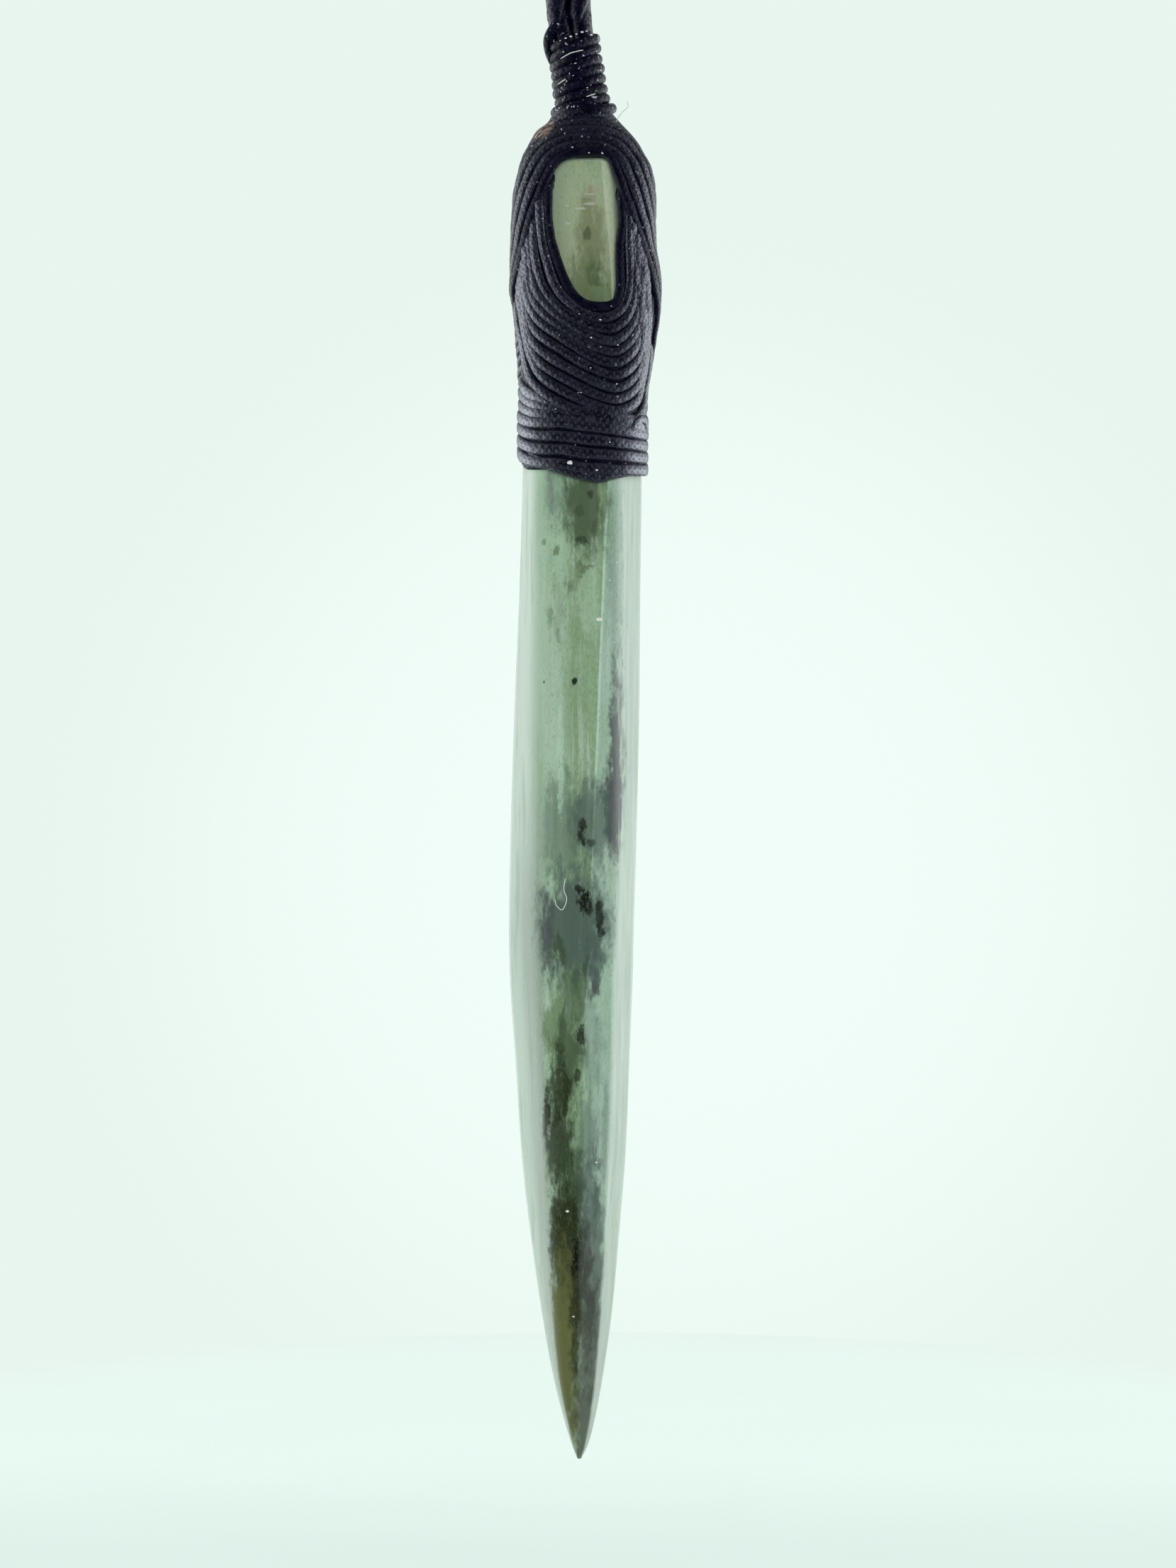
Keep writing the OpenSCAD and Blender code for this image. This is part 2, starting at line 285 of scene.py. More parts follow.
def shareAt(x, height):  # the share of a place that is seen from the front
    left, right = lashingRow(height)[:2]
    across = min(max((2 * x - left - right) / (right - left), -1.0), 1.0)
    a = math.asin(abs(across) ** (lashing["squareness"] / 2)) / (math.pi / 2) * lashing["shareSteps"]
    i = min(int(a), lashing["shareSteps"] - 1)
    run = quarterRun[i] + (quarterRun[i + 1] - quarterRun[i]) * (a - i)
    return math.copysign(run / quarterRun[-1] / 2, across)


def roundAndUp(share, height, turn, rise):  # what a small step round and a small step up cover
    around = onLashing(share + turn, height) - onLashing(share - turn, height)
    return around, onLashing(share, height + rise) - onLashing(share, height - rise)


def lashingNormal(share, height):
    around, up = roundAndUp(share, height, *lashing["normalReach"])
    return around.cross(up).normalized()


def layLashing(point):
    return onLashing(point[0], point[1])


def lashingPath(points, step=lashing["pathStep"]):
    return smoothPath(points, step, layLashing)


def slideAcross(path, spacing):  # the next cord beside this one
    turn, rise = lashing["slideReach"]
    for _ in range(lashing["slides"]):
        moved = []
        for i, (share, height) in enumerate(path):
            around, up = roundAndUp(share, height, turn, rise)
            around, up = around / (2 * turn), up / (2 * rise)
            ahead = layLashing(path[min(i + 1, len(path) - 1)]) - layLashing(path[max(i - 1, 0)])
            side = around.cross(up).cross(ahead).normalized()
            aa, ab, bb = around.dot(around), around.dot(up), up.dot(up)
            pa, pb = around.dot(side), up.dot(side)
            gap, wide = spacing(share) / lashing["slides"], aa * bb - ab * ab
            onward = (pa * bb - pb * ab) / wide * gap
            upward = (pb * aa - pa * ab) / wide * gap
            moved.append((share + onward, height + upward))
        evened = [tuple((a + 2 * b + c) / 4 for a, b, c in zip(p, q, r))
                  for p, q, r in zip(moved, moved[1:], moved[2:])]
        path = respace([moved[0]] + evened + [moved[-1]], lashing["pathStep"], layLashing)
    return path


def clipRuns(path, keep):  # the stretches that the test keeps
    runs, run = [], []
    for point in path:
        if keep(point):
            run.append(point)
        elif run:
            runs.append(run)
            run = []
    if run:
        runs.append(run)
    return [r for r in runs if len(r) >= lashing["fewest"]]


def addLashing(mesh, path, sunk, key, width=lashing["cordWidth"], thick=lashing["cordThick"], deeper=0.0):
    def uneven(what, along):
        shift, size, pace = lashing["uneven"][what]
        return wander(key + shift, along, size, pace)

    path = respace(path, lashing["ring"], layLashing)
    places, normals, widths = [], [], []
    for i, (share, height) in enumerate(path):
        along = i * lashing["ring"]
        deep = thick / 2 + (sunk(share, height, i / (len(path) - 1)) + deeper) + uneven("depth", along)
        deep += uneven("fine", along)
        places.append(onLashing(share, height, deep) + Vector((0, 0, uneven("rise", along))))
        normals.append(lashingNormal(share, height))
        widths.append(width * (1 + uneven("width", along)))
    mesh.add(places, normals, widths, thick, square=lashing["cordSquare"], start=key * lashing["startShift"])


def addInTurn(outer, inner, path, sunk, number, key, deeper):  # every second cord fills in from beneath
    if number % 2:
        addLashing(inner, path, sunk, key + number, deeper=deeper)
    else:
        addLashing(outer, path, sunk, key + number)


# Materials
grainRange = (0.3, 0.7)  # most of a grain's values lie between these


def colour(r, g, b):
    return (r, g, b, 1.0)


class Nodes:
    def __init__(self, owner):
        owner.use_nodes = True
        self.tree = owner.node_tree
        self.tree.nodes.clear()

    def put(self, socket, value):
        if isinstance(value, bpy.types.NodeSocket):
            self.tree.links.new(value, socket)
        else:
            socket.default_value = value

    def make(self, kind, inputs, **settings):
        node = self.tree.nodes.new(kind)
        for key, value in settings.items():
            setattr(node, key, value)
        for key, value in inputs.items():
            self.put(node.inputs[key], value)
        return node

    def add(self, kind, inputs, output=0, **settings):
        return self.make(kind, inputs, **settings).outputs[output]

    def sum(self, how, a, b=0.0, c=0.0):
        return self.add("ShaderNodeMath", {0: a, 1: b, 2: c}, operation=how)

    def weighed(self, *parts, base=0.0):  # each value times its weight, added up
        for value, weight in parts:
            base = self.sum("MULTIPLY_ADD", value, weight, base)
        return base

    def together(self, first, *others):  # where all of them hold
        for other in others:
            first = self.sum("MULTIPLY", first, other)
        return first

    def vectors(self, how, a, b=(0.0, 0.0, 0.0), output=0):
        return self.add("ShaderNodeVectorMath", {0: a, 1: b}, output, operation=how)

    def split(self, vector):
        return self.make("ShaderNodeSeparateXYZ", {0: vector}).outputs

    def stretch(self, value, low, high, toLow=0.0, toHigh=1.0, how="SMOOTHSTEP"):
        spans = {"Value": value, "From Min": low, "From Max": high, "To Min": toLow, "To Max": toHigh}
        return self.add("ShaderNodeMapRange", spans, interpolation_type=how)

    def scaled(self, coords, scale, shift=(0, 0, 0)):
        return self.add("ShaderNodeMapping", {"Vector": coords, "Scale": scale, "Location": shift})

    def where(self, kind="Object"):
        return self.add("ShaderNodeTexCoord", {}, kind)

    def millimetres(self):
        return self.scaled(self.where(), (1 / mm,) * 3, (0, 0, loopTop))

    def lie(self):  # along a cord and round it, or round the stone and up
        return self.add("ShaderNodeUVMap", {}, uv_map="lie")

    def grain(self, coords, scale, detail=4.0, rough=0.55, output="Fac"):
        inputs = {"Vector": coords, "Scale": scale, "Detail": detail, "Roughness": rough}
        return self.add("ShaderNodeTexNoise", inputs, output)

    def blend(self, share, a, b, how="MIX"):
        return self.add("ShaderNodeMix", {0: share, 6: a, 7: b}, 2, data_type="RGBA", blend_type=how)

    def ramp(self, value, stops, how="LINEAR"):
        node = self.make("ShaderNodeValToRGB", {0: value})
        bar = node.color_ramp
        bar.interpolation = how
        while len(bar.elements) < len(stops):
            bar.elements.new(0.5)
        for element, (place, shade) in zip(bar.elements, stops):
            element.position = place
            element.color = shade
        return node.outputs[0]


class Shades(Nodes):
    def __init__(self, name):
        self.material = bpy.data.materials.new(name)
        super().__init__(self.material)
        self.skin = self.make("ShaderNodeBsdfPrincipled", {})
        self.make("ShaderNodeOutputMaterial", {"Surface": self.skin.outputs["BSDF"]})

    def bump(self, height, strength, distance):
        return self.add("ShaderNodeBump", {"Height": height, "Strength": strength, "Distance": distance})

    def surface(self, **values):
        for key, value in values.items():
            self.put(self.skin.inputs[key.replace("_", " ")], value)
        return self.material


cordLook = {
    "base": colour(0.0010, 0.0011, 0.0068),
    "faded": colour(0.006, 0.006, 0.0185),
    # fleck: pale specks, partly wax and lint and partly painted glints
    "fleck": colour(0.50, 0.51, 0.54),
    # tan: the colour of a painted glint on the left shoulder
    "tan": colour(0.38, 0.265, 0.215),
    "tanGlintPlace": (-2.95, -1.8, 117.0),  # a painted glint, tan, on the left shoulder
    "tanGlintReach": (1.35, 1.35 * 0.6),
    "tint": colour(0.84, 0.87, 1.0),
    "index": 1.75,
    "gloss": 1.0,
    "rough": 0.21,
    "roughSpread": (0.08, 0.10),
    "flecks": 0.0,
    "fleckSpan": (0.70, 0.75),
    "braid": 1.0,
    "bump": 0.8,
    "cells": 5.0,  # cells of the fine braid round the cord
    "braidLength": 0.62,  # one cell along the cord
    "braidDepth": 0.000018,
    "fibreScale": (0.9, 22.0, 1.0),  # fine fibres that run along the cord
    "grains": {
        "fibre": (1.0, 3.0, 0.6), "fine": (5.5, 3.0), "patch": (1.3, 3.0, 0.6), "speck": (3.4, 2.0, 0.5)},
    "heights": (0.9, 2.6, 0.7, 4.0),  # fine grain, fibres, braid, patches
    "worn": {"fibre": 0.5, "braid": 0.12, "span": (0.62, 1.15)},
    "dull": {"strand": 0.08, "pit": 0.22, "fine": 0.05},
    "spans": {
        "pit": (0.3, -0.15), "tanGlintFibre": (0.44, 0.56), "fleckPatch": (0.48, 0.6), "dullFine": (0.4, 0.62)},
}


def waxedCord(name, **own):  # a cord's own settings stand in for the common ones
    look = {**cordLook, **own}
    grains, spans, wear, dulls = (look[part] for part in ("grains", "spans", "worn", "dull"))
    s = Shades(name)
    lie, place = s.lie(), s.millimetres()
    parts = s.split(lie)
    along = s.sum("MULTIPLY", parts[0], 2 * math.pi / look["braidLength"])
    around = s.sum("MULTIPLY", parts[1], 2 * math.pi * look["cells"])
    one = s.sum("SINE", s.sum("ADD", along, around))
    two = s.sum("SINE", s.sum("SUBTRACT", along, around))
    braid = s.sum("MAXIMUM", one, two)
    number = s.sum("FLOOR", parts[1])
    strand = s.add("ShaderNodeTexWhiteNoise", {"W": number}, "Value", noise_dimensions="1D")
    fibre = s.grain(s.scaled(lie, look["fibreScale"]), *grains["fibre"])
    fine, patch = s.grain(place, *grains["fine"]), s.grain(place, *grains["patch"])
    height = s.weighed(*zip((fine, fibre, braid, patch), look["heights"]))
    worn = s.stretch(s.weighed((fibre, wear["fibre"]), (braid, wear["braid"]), base=patch), *wear["span"])
    tone = s.blend(worn, look["base"], look["faded"])
    # painted glint: a tan patch on the left shoulder
    away = s.vectors("DISTANCE", place, look["tanGlintPlace"], "Value")
    tan = s.together(s.stretch(away, *look["tanGlintReach"]), s.stretch(fibre, *spans["tanGlintFibre"]))
    tone = s.blend(tan, tone, look["tan"])
    # pale flecks at random places: partly wax and lint, partly painted glints
    low, high = look["fleckSpan"]
    speck = s.stretch(s.grain(place, *grains["speck"]), low - look["flecks"], high - look["flecks"])
    tone = s.blend(s.together(speck, s.stretch(patch, *spans["fleckPatch"])), tone, look["fleck"])
    dull = s.weighed((strand, dulls["strand"]), (s.stretch(braid, *spans["pit"]), dulls["pit"]),
                     (s.stretch(fine, *spans["dullFine"]), dulls["fine"]))
    smoother, rougher = look["roughSpread"]
    rough = s.stretch(patch, *grainRange, look["rough"] - smoother, look["rough"] + rougher)
    return s.surface(Base_Color=tone, Roughness=s.sum("ADD", rough, dull),
                     Normal=s.bump(height, look["bump"] * look["braid"], look["braidDepth"]),
                     IOR=look["index"], Specular_IOR_Level=look["gloss"], Specular_Tint=look["tint"])


lashingCord = waxedCord("waxedLashingCord", braid=1.15, flecks=0.015)
# painted shade: the hood's cords are a less glossy copy of the lashing cord, so the hood looks darker
hoodCord = waxedCord("waxedHoodCord", braid=1.4, flecks=0.025, gloss=0.64)
# painted light: the collar's cords are a glossier copy of the lashing cord, so its sides look brighter
collarCord = waxedCord("waxedCollarCord", flecks=0.015, index=1.98)
whippingCord = waxedCord("waxedWhippingCord", braid=1.6, rough=0.12, cells=4.0, flecks=0.08, gloss=0.13)
# painted shade: a less glossy copy of the cord for the layers beneath and the cords at the window's edges
shadedCord = waxedCord("waxedShadedCord", flecks=0.02, gloss=0.2)
plaitCord = waxedCord("waxedPlaitCord", braid=1.3, rough=0.12, cells=4.0, flecks=0.03, gloss=0.22)
print("cord materials ready")


# The neck cord: one loop of a four-strand plait
plait = {
    "wide": 2.5,
    "wideBound": 1.54,  # where the whipping squeezes it
    "lay": 12.5,  # length of one full turn of a strand
    "strandWide": 1.6,
    "strandThick": 0.86,
    "strandSquare": 2.2,
    "lowShare": 0.34,  # how far out a strand is where another passes over it
    "crossing": (-0.1, 1.1),
    "strandSides": 8,
    "startShift": 31.0,
    "core": 2.0,
    "ring": 0.42,
    "uneven": 0.04,
    "boundBelow": 126,
    "route": [  # x, height
        (-0.3, 119), (-1.3, 125.8), (-1.6, 127), (-1.75, 128.6), (-2.8, 135), (-4.4, 142), (-9.6, 160),
        (-21.2, 200), (-32.7, 240), (-44.3, 280), (-53, 310), (-57.6, 326.4), (-60, 343), (-58, 358.5),
        (-52, 373), (-42.4, 385.4), (-30, 395), (-15.5, 401), (0, 403), (15.5, 401), (30, 395),
        (42.4, 385.4), (52, 373), (58, 358.5), (60, 343), (57.3, 325.1), (52.5, 310), (43.2, 280),
        (30.6, 240), (18.1, 200), (5.7, 160), (2.2, 148), (0.5, 140), (0.2, 134), (0.2, 128.6),
        (0.25, 127), (0.4, 125.8), (1.3, 119)],
}


def layRoute(point):
    return Vector((point[0], 0.0, point[1]))


def makePlait():
    route = [(x, height, 1.0 if height > plait["boundBelow"] else 0.0) for x, height in plait["route"]]
    route = smoothPath(route, plait["ring"], layRoute)
    centre = [layRoute(p) for p in route]
    count = len(centre)
    bound = plait["wideBound"] / plait["wide"]
    shares = [bound + (1 - bound) * min(max(p[2], 0), 1) for p in route]
    mesh = StrandMesh()
    turns = round(count * plait["ring"] / plait["lay"])
    outer = plait["wide"] / 2
    high, low = outer - plait["strandThick"] / 2, outer * plait["lowShare"]
    for strand in range(4):  # two strands go round one way and two the other
        way = 1 if strand % 2 == 0 else -1
        phase = 0.0 if strand < 2 else math.pi
        path, normals = [], []
        for i in range(count):
            ahead = (centre[min(i + 1, count - 1)] - centre[max(i - 1, 0)]).normalized()
            side = ahead.cross(backward).normalized()
            turn = 2 * math.pi * turns * i / (count - 1)
            spin = way * turn + phase
            out = side * math.cos(spin) + backward * math.sin(spin)
            rise = 0.5 + 0.5 * way * math.cos(2 * turn)
            radius = (low + (high - low) * smoothStep(*plait["crossing"], rise)) * shares[i]
            radius += wander(strand + 3, i * plait["ring"], plait["uneven"])
            path.append(centre[i] + out * radius)
            normals.append(out)
        mesh.add(path, normals, plait["strandWide"], plait["strandThick"], sides=plait["strandSides"],
                 square=plait["strandSquare"], start=strand * plait["startShift"])
    middle = centre[::3] + [centre[-1]]
    mesh.add(middle, [backward] * len(middle), plait["core"], plait["core"],
             sides=plait["strandSides"], square=2.0)
    mesh.build("neck_plait", plaitCord, "neck_cord", "plaited_cord")


makePlait()


# The stone
stone = {
    "thick": 6.4,
    "edgeFlat": 0.9,
    "frontDepth": (0.72, 0.90, 0.95, 0.83),  # left bevel, rib, ridge, right bevel
    "backDepth": 0.78,
    "rows": [  # height, left edge, left bevel, rib, ridge, right bevel, right edge, share of the thickness
        (114.5, -3.1, -2.1, -0.9, 2, 3, 4.1, 0.78), (114.3, -3.4, -2.2, -0.9, 2.1, 3, 4.4, 0.88),
        (114.1, -3.5, -2.2, -0.9, 2.1, 3, 4.5, 0.92), (112.2, -4.1, -2.3, -0.9, 2.2, 3.1, 5, 0.93),
        (107.3, -4.4, -2.4, -0.9, 2.7, 3.4, 5.4, 0.94), (101.7, -4.6, -2.8, -0.9, 3, 3.6, 5.6, 0.97),
        (93.6, -4.7, -3.4, -0.9, 2.9, 3.7, 5.6, 0.99), (86.1, -4.8, -3.8, -0.9, 2.8, 3.7, 5.7, 1),
        (78.6, -5, -3.8, -1, 2.4, 3.7, 5.6, 1), (66.1, -5.5, -3.9, -1.1, 1.9, 3.5, 5.5, 1),
        (53.6, -5.9, -3.8, -1.2, 1.4, 3.4, 5.2, 0.98), (47.3, -6, -3.7, -1.4, 1.2, 3.3, 5, 0.97),
        (42.3, -5.9, -3.5, -1.5, 0.9, 3.1, 4.9, 0.94), (34.8, -5.4, -3.2, -1.6, 0.6, 3, 4.6, 0.89),
        (27.3, -4.9, -2.9, -1.7, 0.5, 2.7, 4.3, 0.81), (19.8, -4.1, -2.6, -1.6, 0.3, 2.4, 3.7, 0.69),
        (12.3, -3, -2.1, -1.4, 0.2, 2, 3, 0.5), (7.3, -2.1, -1.6, -1.1, 0.2, 1.6, 2.3, 0.35),
        (3.6, -1.2, -0.9, -0.6, 0.2, 1.1, 1.6, 0.23), (1.3, -0.5, -0.4, -0.2, 0.2, 0.7, 1, 0.15),
        (0, 0, 0.05, 0.1, 0.2, 0.35, 0.4, 0.1)],
    "corners": 11,
    "perCorner": 5,
    "soft": (0.28, 0.55, 0.9, 0.22, 0.4, 0.28, 0.28, 0.5, 0.7, 0.5, 0.28),  # how far each corner is rounded
    "softShare": (0.3, 0.7),  # fixed, and with the thickness
    "softLimit": 0.35,
    "spread": 0.2,  # how much of the way to the next corner a rounded one takes up in the mesh's marks
    "softer": 2.2,  # the bevels run in more softly above
    "softerFrom": (34, 52),
    "tipRings": (0.0, 0.12, 0.3, 0.55, 0.9, 1.3),
    "topRings": (113.2, 113.6, 113.9, 114.04),
    "rimRings": (114.1, 114.15, 114.2, 114.25, 114.3, 114.35, 114.4, 114.45, 114.5),
    "ringsTo": 112.3,
    "fineBelow": 6,
    "ringSteps": (0.3, 0.55),
    "uneven": 0.03,
    "unevenScale": (0.25, 0.25, 0.09),
    "ends": (-0.06, 0.03),  # how far the middles of the tip and of the top stand out
    "middle": 2.5,  # where along the section the middles of the ends are marked
    "crisp": 60,
}
stoneRow = smoothTable(stone["rows"])


def stoneSection(height):
    left, leftBevel, rib, ridge, rightBevel, right, share = stoneRow(height)
    half, flat = stone["thick"] / 2 * share, stone["edgeFlat"] / 2 * share
    a, b, c, d = (half * v for v in stone["frontDepth"])
    back = half * stone["backDepth"]
    middle = (leftBevel + rightBevel) / 2
    corners = [(left, -flat), (leftBevel, -a), (rib, -b), (ridge, -c), (rightBevel, -d), (right, -flat),
               (right, flat), (rightBevel, back), (middle, half), (leftBevel, back), (left, flat)]
    out, limit, last = [], stone["softLimit"], stone["perCorner"] - 1
    (least, more), spread = stone["softShare"], stone["spread"]
    for i, corner in enumerate(corners):
        here, before, after = Vector(corner), Vector(corners[i - 1]), Vector(corners[(i + 1) % len(corners)])
        reach = stone["soft"][i] * (least + more * share)
        if i in (1, 4):  # the two bevels of the front
            reach *= 1 + (stone["softer"] - 1) * smoothStep(*stone["softerFrom"], height)
        start = here + (before - here) * min(limit, reach / max((before - here).length, 1e-6))
        stop = here + (after - here) * min(limit, reach / max((after - here).length, 1e-6))
        for j in range(stone["perCorner"]):
            t = j / last
            p = start * (1 - t) ** 2 + here * 2 * t * (1 - t) + stop * t * t
            out.append((p.x, p.y, i - spread + spread / 2 * j))
    return out


def makeStone(material):
    heights = list(stone["tipRings"])
    while heights[-1] < stone["ringsTo"]:
        heights.append(heights[-1] + stone["ringSteps"][0 if heights[-1] < stone["fineBelow"] else 1])
    heights += stone["topRings"] + stone["rimRings"]
    points, faces, marks, count = [], [], [], stone["corners"] * stone["perCorner"]
    sx, sy, sz = stone["unevenScale"]
    for height in heights:
        for x, y, turn in stoneSection(height):
            push = stone["uneven"] * noise.noise(Vector((x * sx, y * sy, height * sz)))
            out = Vector((x, y, 0)).normalized() if abs(x) + abs(y) > 0.01 else Vector((0, 0, 0))
            points.append((x + out.x * push, y + out.y * push, height, turn))
    for i in range(len(heights) - 1):
        for j in range(count):
            k = (j + 1) % count
            face = (i * count + j, i * count + k, (i + 1) * count + k, (i + 1) * count + j)
            faces.append(face)
            wrap = 0.0 if k else stone["corners"]
            marks += [(points[p][3] + more, points[p][2]) for p, more in zip(face, (0.0, wrap, wrap, 0.0))]
    for i, lift in zip((0, len(heights) - 1), stone["ends"]):
        ring = points[i * count:(i + 1) * count]
        hub = len(points)
        middle = [sum(p[axis] for p in ring) / count for axis in (0, 1)]
        points.append((*middle, ring[0][2] + lift, stone["middle"]))
        for j in range(count):
            a, b = i * count + j, i * count + (j + 1) % count
            faces.append((hub, b, a) if i == 0 else (hub, a, b))
            marks += [(stone["middle"], points[a][2])] * 3
    mesh = meshFrom("greenstone", [p[:3] for p in points], faces, marks)
    piece = finishPiece("greenstone", mesh, material, "greenstone_blade")
    piece.modifiers.new("crispFacets", "WEIGHTED_NORMAL").weight = stone["crisp"]


